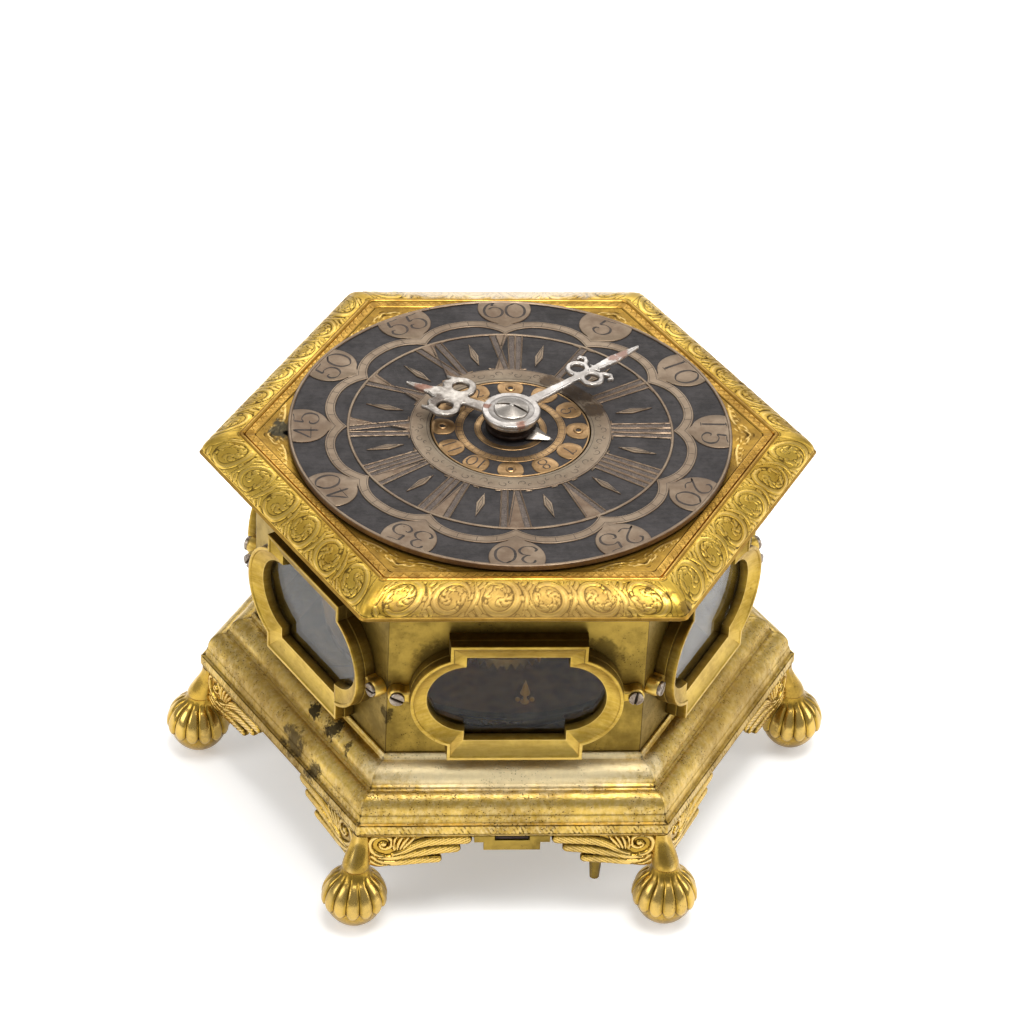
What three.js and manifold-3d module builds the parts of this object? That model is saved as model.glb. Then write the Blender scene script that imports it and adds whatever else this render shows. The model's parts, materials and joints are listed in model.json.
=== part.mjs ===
// Horizontal table clock with alarm: a hexagonal gilt-brass case on six gadrooned ball feet,
// glazed on every side, with a verge movement, a fusee and a bell inside.
// Millimetres, +Z up. The origin is on the floor under the middle of the dial.
// The flats of the hexagon face front (-Y) and back (+Y), its corners point left and right.
import * as THREE from 'three';
import { mergeVertices } from 'three/addons/utils/BufferGeometryUtils.js';
import Module from 'manifold-3d';

const wasm = await Module();
wasm.setup();

// Case: half widths are taken across the flats. The walls lead, the mouldings are set off from them,
// and heights are stacked up from the floor
const wallHalfFlats = 52.8;
const wallThick = 1.6;
const baseReach = 11.7;
const bottomInset = 2.2;
const topReach = 12.15;
const borderReach = 0.35;
const borderWidth = 3.15;
const ledgeWidth = 3.65;
const footHeight = 26;
const bottomThick = 2;
const seam = 0.1;
const baseHeight = 16.3;
const wallHeight = 49.8;
const frameHeight = 6.3;
const frameBead = 1.2;
const crestBead = 1.3;
const borderDrop = 0.25;
const plateThick = 1.1;
const plateDrop = 0.5;

// Fits: a close fit between fixed pieces, a running fit on a pivot and a free gap between bodies
const closeFit = 0.1;
const runningFit = 0.1;
const freeGap = 0.3;
const overrun = 1;

// Windows: a rectangle crossed by two round ends, in a deep raised bezel. Widths are shares of half
// a side of the walls, heights are shares of the walls' height
const windowWidthShare = 0.5347;
const windowEndCentreShare = 0.3773;
const windowEndShare = 0.456;
const windowHeightShare = 0.3524;
const windowMiddleShare = 0.3946;
const bevelSide = 4.1;
const bevelTop = 4.9;
const bevelDepth = 1.6;
const bezelDepth = 5.3;
const glassRebate = 1.2;
const glassThick = 1.2;
const lugInset = 2.234;
const lugRadius = 2.15;
const lugLength = 2.8;
const lugWeb = 2.4;
const screwRadius = 0.9;
const screwHeadRadius = 1.8;
const screwHeadHeight = 0.9;
const screwSlot = 0.5;
const screwSlotAngle = 40;
const windowEndSteps = 4;

// Feet: a gadrooned ball under a corner bracket with two leaf wings
const ballRadius = 8.1;
const ballOut = 0.62;
const ballFlat = 2.2;
const ballShares = [0, 0.06, 0.22, 0.46, 0.7, 0.88, 0.96];
const flutePoints = 3;
const gadroons = 7;
const gadroonDepthShare = 0.11;
const legRadii = [3.1, 3.2, 3.5, 3.9];
const legInsets = [0.6, 2.4, 4.1, 4.9];
const legShares = [0, 0.3, 0.65, 1];
const wingLengthShare = 0.7435;
const wingRoot = 7;
const wingDrop = 9.8;
const wingThick = 1.7;
const wingSteps = 5;

// Dial, alarm disc and hands; the reaches are shares of the dial's radius
const dialOverlap = 0.35;
const dialThick = 1.4;
const dialLip = 4.5;
const alarmShare = 0.358;
const alarmRecess = 0.1;
const minuteReachShare = 0.789;
const minuteAngle = 39.2;
const minuteBoss = 7;
const minuteRingSpread = 2.55;
const minuteRing = 2.9;
const minuteRingHole = 1.7;
const hourReachShare = 0.527;
const hourAngle = 151.5;
const hourBoss = 6.3;
const hourRingSpread = 4.5;
const hourRing = 3.5;
const hourRingHole = 2;
const ringOffsetShare = 0.571;
const alarmTailShare = 0.2112;
const handThick = 1;
const handStem = 2.4;
const handHeight = 5.5;
const cannonPipe = 2;
const hourPipe = 3.2;
const handScrewRadius = 4.3;
const handScrewDome = 1.5;
const handScrewRimShare = 0.25;
const handScrewShoulderShares = [0.72, 0.78];
const handScrewAngle = -25;

// Movement: two round plates, pillars and the train between them. Its plan follows the walls, its
// height fills the room between the bell and the dial plate
const movementShare = 0.8333;
const movementPlate = 1.6;
const movementLift = 3.6;
const motionRoom = 11.3;
const pillarRadius = 1.8;
const pillarWaistShare = 0.7;
const pillarInset = 4;
const pillars = 4;
const dialFootRadius = 1.5;
const arborRadius = 1.1;
const pivotRadius = 0.65;
const wheelThick = 1.2;
const pinionLength = 4.6;
const hubRadius = 2.4;
const rimShare = 0.8;
const spokeWidth = 1.5;

// Teeth: counts, and tooth sizes (pitch circle diameter over the number of teeth) as shares of the
// plates' radius
const greatTeeth = 32;
const greatPinionTeeth = 8;
const greatToothShare = 0.02045;
const centreTeeth = 42;
const centrePinionTeeth = 7;
const centreToothShare = 0.01455;
const thirdTeeth = 42;
const thirdPinionTeeth = 7;
const thirdToothShare = 0.01409;
const contrateTeeth = 36;
const crownPinionTeeth = 6;
const contrateShare = 0.2727;
const contrateRim = 1.2;
const contrateDepth = 3.4;
const crownTeeth = 15;
const crownShare = 0.1273;
const crownDepth = 3;
const crownLift = 1.27;
const crownSlopeShare = 0.9;
const crownWallShare = 0.8;
const cannonTeeth = 10;
const minuteTeeth = 30;
const minutePinionTeeth = 8;
const hourTeeth = 32;
const motionToothShare = 0.01364;
const addendumShare = 0.8;
const dedendumShare = 1.2;
const rootWidthShare = 0.5;
const crownMeshShare = 1.2;

// Train levels as shares of the pillars' height, and the directions from one arbor to the next;
// the contrate wheel stands over the crown wheel, whose rim clears the lower plate
const greatLevelShare = 0.1374;
const thirdLevelShare = 0.5495;
const centreLevelShare = 0.8516;
const fuseeAngle = 150;
const barrelAngle = 30;
const barrelDistanceShare = 0.5;
const thirdAngle = -60;
const contrateAngle = 233;
const crownAngle = 100;
const vergeGap = 2;
const motionAngle = 200;

// Fusee, barrel and chain; radii are shares of the plates', heights of the pillars'
const fuseeFootShare = 0.25;
const fuseeTopShare = 0.1227;
const fuseeHeightShare = 0.4945;
const fuseeTurns = 5;
const fuseeTurnShares = [0.25, 0.75];
const grooveDepth = 0.9;
const windingSquare = 3.2;
const windingReach = 10.6;
const windingHole = 5;
const barrelShare = 0.25;
const barrelHeightShare = 0.4121;
const chainWidth = 0.8;
const chainSteps = 30;
const chainBends = 10;

// Escapement, alarm and bell
const balanceShare = 0.2955;
const balanceRim = 1.6;
const balanceThick = 1.2;
const balanceDrop = 4.8;
const balanceSpokes = 3;
const balanceSwing = 50;
const vergeRadius = 0.7;
const palletLength = 1.15;
const palletHeight = 1.5;
const cockShare = 0.2273;
const cockThick = 1;
const cockFootWidth = 7;
const cockHoles = 5;
const cockHoleShares = [1 / 6, 0.65];
const bellShare = 0.8636;
const bellWall = 1.5;
const bellLift = 2.3;
const bellHole = 2.3;
const bellCurve = 0.7;
const bellSteps = 4;
const nutShare = 1.5;
const hammerShare = 0.4545;
const hammerLengthShare = 0.2045;
const hammerAngle = 158;
const hammerHead = 2.2;
const hammerHeadHeight = 4.4;
const hammerArm = 1.4;

// Catch at the front and hinge at the back of the bottom plate
const catchGap = 0.42;
const catchStep = 2.3;
const catchShoulder = 1.9;
const catchDrop = 4.3;
const catchThick = 1.7;
const boltInset = 2.9;
const boltThick = 0.7;
const boltLength = 10;
const boltTravel = 1.5;
const noseThick = 1.4;
const noseHalfWidth = 1.5;
const noseReach = 1.1;
const noseSetback = 4;
const stopShare = 0.56;
const stopLength = 14.7;
const stopRadius = 2.2;
const stopTipRadius = 1.2;
const knuckleRadius = 1.5;
const hingePinRadius = 0.7;
const hingeHalfWidth = 9;
const caseKnuckleHalfWidth = 3;
const hingeLeaf = 1.2;

// Shares of the base moulding: outwards from the wall to the lip, upwards from the lip's foot
const lipShares = [[0.975, 0], [1, 0.21]];
const lipStepShares = [[0.905, 0.325]];
const lowerRoundShares = [[0.88, 0.365], [0.565, 0.63]];
const filletShares = [[0.53, 0.645], [0.51, 0.685]];
const upperRoundShares = [[0.485, 0.7], [0.1, 0.94]];
const astragalShares = [[0.085, 0.965], [0.065, 1.005], [0.02, 1.03]];

// Facets of round pieces: pivots and holes, rods and arbors, pipes, bosses, and the large plates
const screwHoleSides = 6;
const pivotSides = 8;
const rodSides = 10;
const pipeSides = 14;
const bossSides = 20;
const plateSides = 32;
const dialSides = 42;
const bellSides = 24;
const frameRoundSteps = 5;
const baseRoundSteps = 4;

// Six sides and six corners, and the two slopes of a hexagon's corner
const rad = THREE.MathUtils.degToRad;
const sideStep = 60;
const cos30 = Math.cos(rad(sideStep / 2));
const tan30 = Math.tan(rad(sideStep / 2));

const sideNames = ['back_right', 'back', 'back_left', 'front_left', 'front', 'front_right'];
const cornerNames = ['right', 'back_right', 'back_left', 'left', 'front_left', 'front_right'];
const sideAngles = sideNames.map((name, i) => sideStep * i + sideStep / 2);

// Widths worked out from the walls
const baseHalfFlats = wallHalfFlats + baseReach;
const bottomHalfFlats = baseHalfFlats - bottomInset;
const topHalfFlats = wallHalfFlats + topReach;
const borderHalfFlats = wallHalfFlats + borderReach;
const crestHalfFlats = borderHalfFlats + borderWidth;
const ledgeHalfFlats = borderHalfFlats - ledgeWidth;
const sideHalf = wallHalfFlats * tan30;
const windowHalfWidth = sideHalf * windowWidthShare;
const windowEndCentre = sideHalf * windowEndCentreShare;
const windowEndRadius = sideHalf * windowEndShare;
const lugOffset = sideHalf - lugInset;
const ballCentre = baseHalfFlats / cos30 + ballOut;
const wingOuter = bottomHalfFlats + freeGap + wingThick;
const wingCorner = wingOuter * tan30;
const wingLength = wingCorner * wingLengthShare;
const stopX = wingCorner * stopShare;
const catchHalfWidth = wingCorner - wingLength - catchGap;
const catchTongueHalfWidth = catchHalfWidth - catchStep;
const boltHalfWidth = catchTongueHalfWidth - boltInset;
const dialRadius = borderHalfFlats + dialOverlap;
const alarmRadius = dialRadius * alarmShare;
const minuteReach = dialRadius * minuteReachShare;
const hourReach = dialRadius * hourReachShare;
const alarmTailReach = dialRadius * alarmTailShare;

// Heights worked out from the stack
const seatZ = footHeight + seam;
const wallFootZ = seatZ + baseHeight;
const wallTopZ = wallFootZ + wallHeight;
const crestZ = wallTopZ + frameHeight;
const borderZ = crestZ - borderDrop;
const plateTopZ = crestZ - plateDrop;
const plateFootZ = plateTopZ - plateThick;
const dialFootZ = crestZ + closeFit;
const dialTopZ = dialFootZ + dialThick;
const windowHalfHeight = wallHeight * windowHeightShare;
const windowZ = wallFootZ + wallHeight * windowMiddleShare;
const handTopZ = dialTopZ + handHeight;
const lowerPlateHeight = wallFootZ + movementLift;
const lowerPlateTopZ = lowerPlateHeight + movementPlate;
const upperPlateTopZ = plateFootZ - motionRoom;
const upperPlateZ = upperPlateTopZ - movementPlate;
const pillarHeight = upperPlateZ - lowerPlateTopZ;
const bellFootZ = footHeight + bellLift;
const bellRimZ = lowerPlateHeight - balanceDrop + freeGap;

// The movement's plan and heights worked out from its plates
const movementRadius = wallHalfFlats * movementShare;
const pillarCircle = movementRadius - pillarInset;
const greatModule = movementRadius * greatToothShare;
const centreModule = movementRadius * centreToothShare;
const thirdModule = movementRadius * thirdToothShare;
const motionModule = movementRadius * motionToothShare;
const contrateRadius = movementRadius * contrateShare;
const crownRadius = movementRadius * crownShare;
const fuseeFootRadius = movementRadius * fuseeFootShare;
const fuseeTopRadius = movementRadius * fuseeTopShare;
const barrelRadius = movementRadius * barrelShare;
const balanceRadius = movementRadius * balanceShare;
const cockRadius = movementRadius * cockShare;
const bellRadius = movementRadius * bellShare;
const hammerLength = movementRadius * hammerLengthShare;
const fuseeHeight = pillarHeight * fuseeHeightShare;
const barrelHeight = pillarHeight * barrelHeightShare;
const levelZ = (share) => lowerPlateTopZ + pillarHeight * share;
const greatZ = levelZ(greatLevelShare);
const thirdZ = levelZ(thirdLevelShare);
const centreZ = levelZ(centreLevelShare);
const crownPinionModule = (2 * contrateRadius) / contrateTeeth;
const crownPinionRadius = (crownPinionTeeth * crownPinionModule) / 2;
const crownTipRadius = crownPinionRadius + addendumShare * crownPinionModule;
const crownZ = lowerPlateTopZ + crownLift + crownRadius;
const contrateZ = crownZ + crownTipRadius + contrateDepth - crownMeshShare * crownPinionModule;

// Finishes
const finishes = {
  gilt: { color: 0xb48c32, roughness: 0.35, metalness: 1 },
  paleGilt: { color: 0xbea56e, roughness: 0.4, metalness: 1 },
  silvered: { color: 0x96877a, roughness: 0.45, metalness: 0.9 },
  copperGilt: { color: 0xaf8c5a, roughness: 0.45, metalness: 0.9 },
  steel: { color: 0xb9b6b2, roughness: 0.3, metalness: 1 },
  brass: { color: 0xc8a050, roughness: 0.35, metalness: 1 },
  bellMetal: { color: 0xa89058, roughness: 0.3, metalness: 1 },
  glass: { color: 0x9fb0b8, roughness: 0.05, metalness: 0, transparent: true, opacity: 0.35 },
};

const group = new THREE.Group();

// A closed three.js geometry as a solid that can be joined and cut
function solidOf(geometry) {
  geometry.deleteAttribute('normal');
  geometry.deleteAttribute('uv');
  const merged = mergeVertices(geometry, 1e-4);
  const index = merged.index.array;
  const faces = [];
  for (let i = 0; i < index.length; i += 3) {
    const [a, b, c] = [index[i], index[i + 1], index[i + 2]];
    if (a !== b && b !== c && c !== a) faces.push(a, b, c);
  }
  const vertProperties = new Float32Array(merged.attributes.position.array);
  const triVerts = new Uint32Array(faces);
  return new wasm.Manifold(new wasm.Mesh({ numProp: 3, vertProperties, triVerts }));
}

// A solid back as a three.js geometry
function geometryOf(solid) {
  const mesh = solid.getMesh();
  const geometry = new THREE.BufferGeometry();
  geometry.setAttribute('position', new THREE.BufferAttribute(mesh.vertProperties, 3));
  geometry.setIndex(new THREE.BufferAttribute(mesh.triVerts, 1));
  geometry.computeVertexNormals();
  return geometry;
}

function join(first, ...others) {
  return others.reduce((sum, other) => sum.add(other), first);
}

function cut(first, ...others) {
  return others.reduce((rest, other) => rest.subtract(other), first);
}

function place(name, solid, finish, parent = group) {
  const mesh = new THREE.Mesh(geometryOf(solid), new THREE.MeshStandardMaterial(finishes[finish]));
  mesh.name = name;
  parent.add(mesh);
  return mesh;
}

// A solid of revolution about Z from [radius, height] points, counter-clockwise in that plane
function turned(profile, segments, start = 0) {
  const points = profile.map(([r, z]) => new THREE.Vector2(r, z));
  if (profile[0][0] !== 0) points.push(points[0].clone());
  const geometry = new THREE.LatheGeometry(points, segments, start);
  geometry.rotateX(Math.PI / 2);
  return solidOf(geometry);
}

// A hexagonal moulding: the same, with mitred corners, from [half width across flats, height]
function mitred(profile) {
  return turned(profile.map(([a, z]) => [a / cos30, z]), cornerNames.length, rad(sideStep / 2));
}

function rod(radius, z0, z1, segments = rodSides) {
  return turned([[0, z0], [radius, z0], [radius, z1], [0, z1]], segments);
}

function block(x0, x1, y0, y1, z0, z1) {
  const geometry = new THREE.BoxGeometry(x1 - x0, y1 - y0, z1 - z0);
  geometry.translate((x0 + x1) / 2, (y0 + y1) / 2, (z0 + z1) / 2);
  return solidOf(geometry);
}

// An outline of [x, y] points carried up from z0 to z1
function prism(outline, z0, z1) {
  const shape = new THREE.Shape(outline.map(([x, y]) => new THREE.Vector2(x, y)));
  const geometry = new THREE.ExtrudeGeometry(shape, { depth: z1 - z0, bevelEnabled: false });
  geometry.translate(0, 0, z0);
  return solidOf(geometry);
}

// Rings with the same number of points, joined in turn; the last ring joins the first one
function loftedFrame(rings) {
  const count = rings[0].length;
  const position = rings.flat(2);
  const index = [];
  for (let i = 0; i < rings.length; i += 1) {
    const here = i * count;
    const next = ((i + 1) % rings.length) * count;
    for (let j = 0; j < count; j += 1) {
      const k = (j + 1) % count;
      index.push(here + j, here + k, next + k, here + j, next + k, next + j);
    }
  }
  const geometry = new THREE.BufferGeometry();
  geometry.setAttribute('position', new THREE.Float32BufferAttribute(position, 3));
  geometry.setIndex(index);
  return solidOf(geometry);
}

// Rings joined in turn, with the first and the last one closed by a fan to their own middle
function loftedBody(rings) {
  const count = rings[0].length;
  const position = rings.flat(2);
  const index = [];
  for (let i = 0; i + 1 < rings.length; i += 1) {
    for (let j = 0; j < count; j += 1) {
      const k = (j + 1) % count;
      const [a, b] = [i * count, (i + 1) * count];
      index.push(a + j, a + k, b + k, a + j, b + k, b + j);
    }
  }
  const last = (rings.length - 1) * count;
  const low = position.length / 3;
  for (const ring of [rings[0], rings[rings.length - 1]]) {
    const sum = ring.reduce((total, point) => total.map((value, axis) => value + point[axis]));
    position.push(...sum.map((value) => value / count));
  }
  for (let j = 0; j < count; j += 1) {
    const k = (j + 1) % count;
    index.push(low, k, j, low + 1, last + j, last + k);
  }
  const geometry = new THREE.BufferGeometry();
  geometry.setAttribute('position', new THREE.Float32BufferAttribute(position, 3));
  geometry.setIndex(index);
  return solidOf(geometry);
}

function quarterRound([x0, z0], [x1, z1], steps) {
  const points = [];
  for (let i = 0; i <= steps; i += 1) {
    const t = (i / steps) * Math.PI / 2;
    points.push([x1 + (x0 - x1) * Math.cos(t), z0 + (z1 - z0) * Math.sin(t)]);
  }
  return points;
}

// A group whose X runs to the right along a side, Y up and Z outwards, for the side facing angle
function sideGroup(angle) {
  const side = new THREE.Group();
  const outward = new THREE.Vector3(Math.cos(rad(angle)), Math.sin(rad(angle)), 0);
  const up = new THREE.Vector3(0, 0, 1);
  const right = new THREE.Vector3().crossVectors(up, outward);
  side.setRotationFromMatrix(new THREE.Matrix4().makeBasis(right, up, outward));
  group.add(side);
  return side;
}

// The same turn for a solid
function onSide(solid, angle) {
  const [c, s] = [Math.cos(rad(angle)), Math.sin(rad(angle))];
  return solid.transform([-s, c, 0, 0, 0, 0, 1, 0, c, s, 0, 0, 0, 0, 0, 1]);
}


// Case mouldings and walls
function topFrame() {
  const beadZ = wallTopZ + frameBead;
  const profile = [
    [ledgeHalfFlats, wallTopZ],
    [topHalfFlats - frameBead / 2, wallTopZ],
    [topHalfFlats, wallTopZ + frameBead / 2],
    ...quarterRound([topHalfFlats, beadZ], [crestHalfFlats + crestBead, borderZ], frameRoundSteps),
    [crestHalfFlats + crestBead / 2, crestZ],
    [crestHalfFlats, crestZ],
    [crestHalfFlats - crestBead / 2, borderZ],
    [borderHalfFlats, borderZ],
    [borderHalfFlats, plateFootZ],
    [ledgeHalfFlats, plateFootZ],
  ];
  return mitred(profile);
}

function baseMoulding() {
  const reach = baseHalfFlats - wallHalfFlats;
  const at = ([out, up]) => [wallHalfFlats + out * reach, seatZ + up * baseHeight];
  const inside = wallHalfFlats - wallThick - closeFit;
  const profile = [
    [inside, seatZ],
    ...lipShares.map(at),
    ...lipStepShares.map(at),
    ...quarterRound(...lowerRoundShares.map(at), baseRoundSteps),
    ...filletShares.map(at),
    ...quarterRound(...upperRoundShares.map(at), baseRoundSteps),
    ...astragalShares.map(at),
    [wallHalfFlats + closeFit, wallFootZ],
    [inside, wallFootZ],
  ];
  const leaf = block(
    -caseKnuckleHalfWidth, caseKnuckleHalfWidth,
    baseHalfFlats - overrun, hingeY, seatZ + closeFit, seatZ + closeFit + hingeLeaf,
  );
  const knuckle = hingeBarrel(-caseKnuckleHalfWidth, caseKnuckleHalfWidth);
  return cut(join(mitred(profile), leaf, knuckle), hingeBore(), nosePocket());
}

// One opening outline of the windows, grown from the bezel's outer edge by given amounts
function cartouche(sideInset, topInset) {
  const halfWidth = windowHalfWidth - sideInset;
  const halfHeight = windowHalfHeight - topInset;
  const radius = windowEndRadius - sideInset;
  const reach = Math.acos((halfWidth - windowEndCentre) / radius);
  const points = [];
  for (const side of [1, -1]) {
    for (let i = 0; i <= windowEndSteps; i += 1) {
      const t = reach * ((2 * i) / windowEndSteps - 1);
      points.push([
        side * (windowEndCentre + radius * Math.cos(t)),
        side * radius * Math.sin(t),
      ]);
    }
    points.push([side * halfWidth, side * halfHeight]);
    points.push([-side * halfWidth, side * halfHeight]);
  }
  return points;
}

const glassOutline = () => cartouche(bevelSide - glassRebate, bevelTop - glassRebate);
const openingOutline = () => cartouche(bevelSide, bevelTop);

function caseWalls() {
  const inside = wallHalfFlats - wallThick;
  let walls = mitred([
    [inside, wallFootZ], [wallHalfFlats, wallFootZ], [wallHalfFlats, wallTopZ], [inside, wallTopZ],
  ]);
  for (const angle of sideAngles) {
    const hole = prism(openingOutline(), inside - overrun, wallHalfFlats + overrun)
      .translate([0, windowZ, 0]);
    walls = walls.subtract(onSide(hole, angle));
    for (const side of [-1, 1]) {
      const bore = screwRadius + 2 * closeFit;
      const screwHole = rod(bore, inside - overrun, wallHalfFlats + overrun, screwHoleSides)
        .translate([side * lugOffset, windowZ, 0]);
      walls = walls.subtract(onSide(screwHole, angle));
    }
  }
  return walls;
}

// A bezel: a deep frame whose face slopes in to the glass, with a screw lug at each end
function bezel() {
  const back = wallHalfFlats + closeFit;
  const front = wallHalfFlats + bezelDepth;
  const rebate = back + glassThick + closeFit;
  const ring = (outline, z) => outline.map(([x, y]) => [x, y, z]);
  let frame = loftedFrame([
    ring(cartouche(0, 0), back),
    ring(cartouche(0, 0), front),
    ring(openingOutline(), front - bevelDepth),
    ring(openingOutline(), rebate),
    ring(glassOutline(), rebate),
    ring(glassOutline(), back),
  ]);
  for (const side of [-1, 1]) {
    const root = windowEndCentre + windowEndRadius - bevelSide / 2;
    const ends = [side * root, side * lugOffset].sort((a, b) => a - b);
    const web = block(ends[0], ends[1], -lugWeb / 2, lugWeb / 2, back, back + lugLength / 2);
    const lug = rod(lugRadius, back, back + lugLength).translate([side * lugOffset, 0, 0]);
    const bore = rod(
      screwRadius + 2 * closeFit, back - overrun, back + lugLength + overrun, screwHoleSides,
    ).translate([side * lugOffset, 0, 0]);
    frame = cut(join(frame, web, lug), bore);
  }
  return frame;
}

function glassPane() {
  const back = wallHalfFlats + closeFit;
  const inset = closeFit + glassRebate;
  const outline = cartouche(bevelSide - glassRebate + closeFit, bevelTop - inset + 2 * closeFit);
  return prism(outline, back, back + glassThick);
}

// A cheese-head screw with its slot, standing on +Z, head up
function bezelScrew() {
  const seat = wallHalfFlats + lugLength + 2 * closeFit;
  const tip = wallHalfFlats - wallThick;
  const top = seat + screwHeadHeight;
  const body = turned([
    [0, tip], [screwRadius, tip], [screwRadius, seat],
    [screwHeadRadius, seat], [screwHeadRadius - screwSlot / 2, top], [0, top],
  ], pivotSides);
  const slot = block(
    -screwHeadRadius - overrun, screwHeadRadius + overrun,
    -screwSlot / 2, screwSlot / 2, top - screwHeadHeight / 2, top + overrun,
  );
  return cut(body, slot);
}

// Feet: the ball's flutes fade out towards the floor
function ballRing(z) {
  const across = Math.sqrt(Math.max(ballRadius ** 2 - (z - ballRadius) ** 2, 0));
  const radius = Math.max(across, ballFlat);
  const fade = Math.min(z / ballRadius, 1);
  const points = flutePoints * gadroons;
  return Array.from({ length: points }, (_, j) => {
    const turn = (2 * Math.PI * j) / points;
    const flute = j % flutePoints === 1 ? gadroonDepthShare * fade : 0;
    const r = radius * (1 - flute);
    return [r * Math.cos(turn), r * Math.sin(turn), z];
  });
}

// The leg leans in from the ball's neck to the corner of the bottom plate
function leg() {
  const z0 = 2 * ballRadius * ballShares[ballShares.length - 2];
  const z1 = footHeight - bottomThick - freeGap;
  const rings = legShares.map((share, i) => Array.from({ length: pivotSides }, (_, j) => {
    const turn = (2 * Math.PI * j) / pivotSides;
    const x = legRadii[i] * Math.cos(turn) - legInsets[i];
    return [x, legRadii[i] * Math.sin(turn), z0 + share * (z1 - z0)];
  }));
  return loftedBody(rings);
}

// A leaf wing along one side: level under the leg, then rounded up to its tip
function wing(side) {
  const edge = quarterRound([wingLength, footHeight], [wingRoot, footHeight - wingDrop], wingSteps);
  const outline = [[0, footHeight], [0, footHeight - wingDrop], ...edge.reverse()];
  const plate = prism(
    outline.map(([s, z]) => [-side * (wingCorner - s), z]), wingOuter - wingThick, wingOuter,
  );
  return onSide(plate, (sideStep / 2) * side);
}

function foot() {
  const ball = loftedBody(ballShares.map((share) => ballRing(2 * ballRadius * share)));
  const standing = join(ball, leg()).translate([ballCentre, 0, 0]);
  return join(standing, wing(-1), wing(1));
}

// Hinge at the back: the case's knuckle between two on the bottom plate
const hingeY = baseHalfFlats + 2 * closeFit + knuckleRadius;
const hingeZ = footHeight + seam / 2;

function alongX(solid) {
  return solid.rotate([0, 90, 0]).translate([0, hingeY, hingeZ]);
}

function hingeBarrel(x0, x1) {
  return alongX(rod(knuckleRadius, x0, x1, pipeSides));
}

function hingeBore() {
  const reach = hingeHalfWidth + overrun;
  return alongX(rod(hingePinRadius + runningFit, -reach, reach));
}

function hingePin() {
  return alongX(rod(hingePinRadius, -hingeHalfWidth, hingeHalfWidth));
}

function bottomPlate() {
  const underside = footHeight - bottomThick;
  let plate = mitred([
    [0, underside], [bottomHalfFlats, underside], [bottomHalfFlats, footHeight], [0, footHeight],
  ]);
  for (const side of [-1, 1]) {
    const ends = [side * (caseKnuckleHalfWidth + 2 * closeFit), side * hingeHalfWidth];
    ends.sort((a, b) => a - b);
    const leaf = block(
      ends[0], ends[1], bottomHalfFlats - overrun, hingeY, underside, underside + hingeLeaf,
    );
    plate = join(plate, leaf, hingeBarrel(...ends));
  }
  const [x, y] = fuseeAt;
  const keyHole = rod(windingHole, underside - overrun, footHeight + overrun, bossSides)
    .translate([x, y, 0]);
  const channel = block(
    -boltHalfWidth - freeGap, boltHalfWidth + freeGap, -bottomHalfFlats - overrun,
    -catchFront + boltLength + boltTravel + freeGap, boltTopZ - boltThick - closeFit, footHeight + overrun,
  );
  const standHole = rod(bellHole, underside - overrun, footHeight + overrun, pipeSides);
  const stopFootZ = underside - stopLength;
  const stop = turned([
    [0, stopFootZ], [stopTipRadius, stopFootZ], [stopRadius, underside + closeFit],
    [0, underside + closeFit],
  ], rodSides).translate([stopX, -bottomHalfFlats + stopRadius, 0]);
  return cut(join(plate, stop), hingeBore(), keyHole, channel, standHole);
}

const catchFront = bottomHalfFlats + freeGap + catchThick;

function catchPlate() {
  const low = footHeight - catchDrop;
  const step = footHeight - catchShoulder;
  const outline = [
    [-catchTongueHalfWidth, low], [catchTongueHalfWidth, low], [catchTongueHalfWidth, step],
    [catchHalfWidth, step], [catchHalfWidth, footHeight], [-catchHalfWidth, footHeight],
    [-catchHalfWidth, step], [-catchTongueHalfWidth, step],
  ];
  const plate = prism(outline, catchFront - catchThick, catchFront);
  const notch = block(
    -boltHalfWidth - freeGap, boltHalfWidth + freeGap,
    footHeight - boltThick - 2 * freeGap, footHeight + overrun,
    catchFront - catchThick - overrun, catchFront + overrun,
  );
  return onSide(cut(plate, notch), -90);
}

const boltTopZ = footHeight - freeGap;
const noseY = -catchFront + noseSetback;

// The bolt's nose stands up into a pocket in the foot of the moulding
function catchBolt() {
  const slide = block(
    -boltHalfWidth, boltHalfWidth,
    -catchFront + freeGap, -catchFront + boltLength, boltTopZ - boltThick, boltTopZ,
  );
  const nose = block(
    -noseHalfWidth, noseHalfWidth, noseY, noseY + noseThick,
    boltTopZ - boltThick / 2, seatZ + noseReach,
  );
  return join(slide, nose);
}

function nosePocket() {
  return block(
    -noseHalfWidth - freeGap, noseHalfWidth + freeGap,
    noseY - freeGap, noseY + noseThick + boltTravel + freeGap,
    seatZ - overrun, seatZ + noseReach + freeGap,
  );
}

// Dial: the hexagonal plate, the chapter disc on it and the alarm disc in its middle
function dialPlate() {
  const edge = borderHalfFlats - closeFit;
  const plate = mitred([
    [0, plateFootZ], [edge, plateFootZ], [edge, plateTopZ], [0, plateTopZ],
  ]);
  const hole = rod(hourPipe + freeGap, plateFootZ - overrun, plateTopZ + overrun, bossSides);
  return cut(plate, hole);
}

function chapterDisc() {
  const seat = plateTopZ + closeFit;
  const bore = alarmRadius + freeGap;
  const seatRadius = dialRadius - dialLip;
  return turned([
    [bore, seat], [seatRadius, seat], [seatRadius, dialFootZ], [dialRadius, dialFootZ],
    [dialRadius, dialTopZ], [bore, dialTopZ],
  ], dialSides);
}

function alarmDisc() {
  const top = dialTopZ - alarmRecess;
  const bore = hourPipe + runningFit;
  const foot0 = plateTopZ + 2 * closeFit;
  return turned([[bore, foot0], [alarmRadius, foot0], [alarmRadius, top], [bore, top]], plateSides);
}

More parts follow.
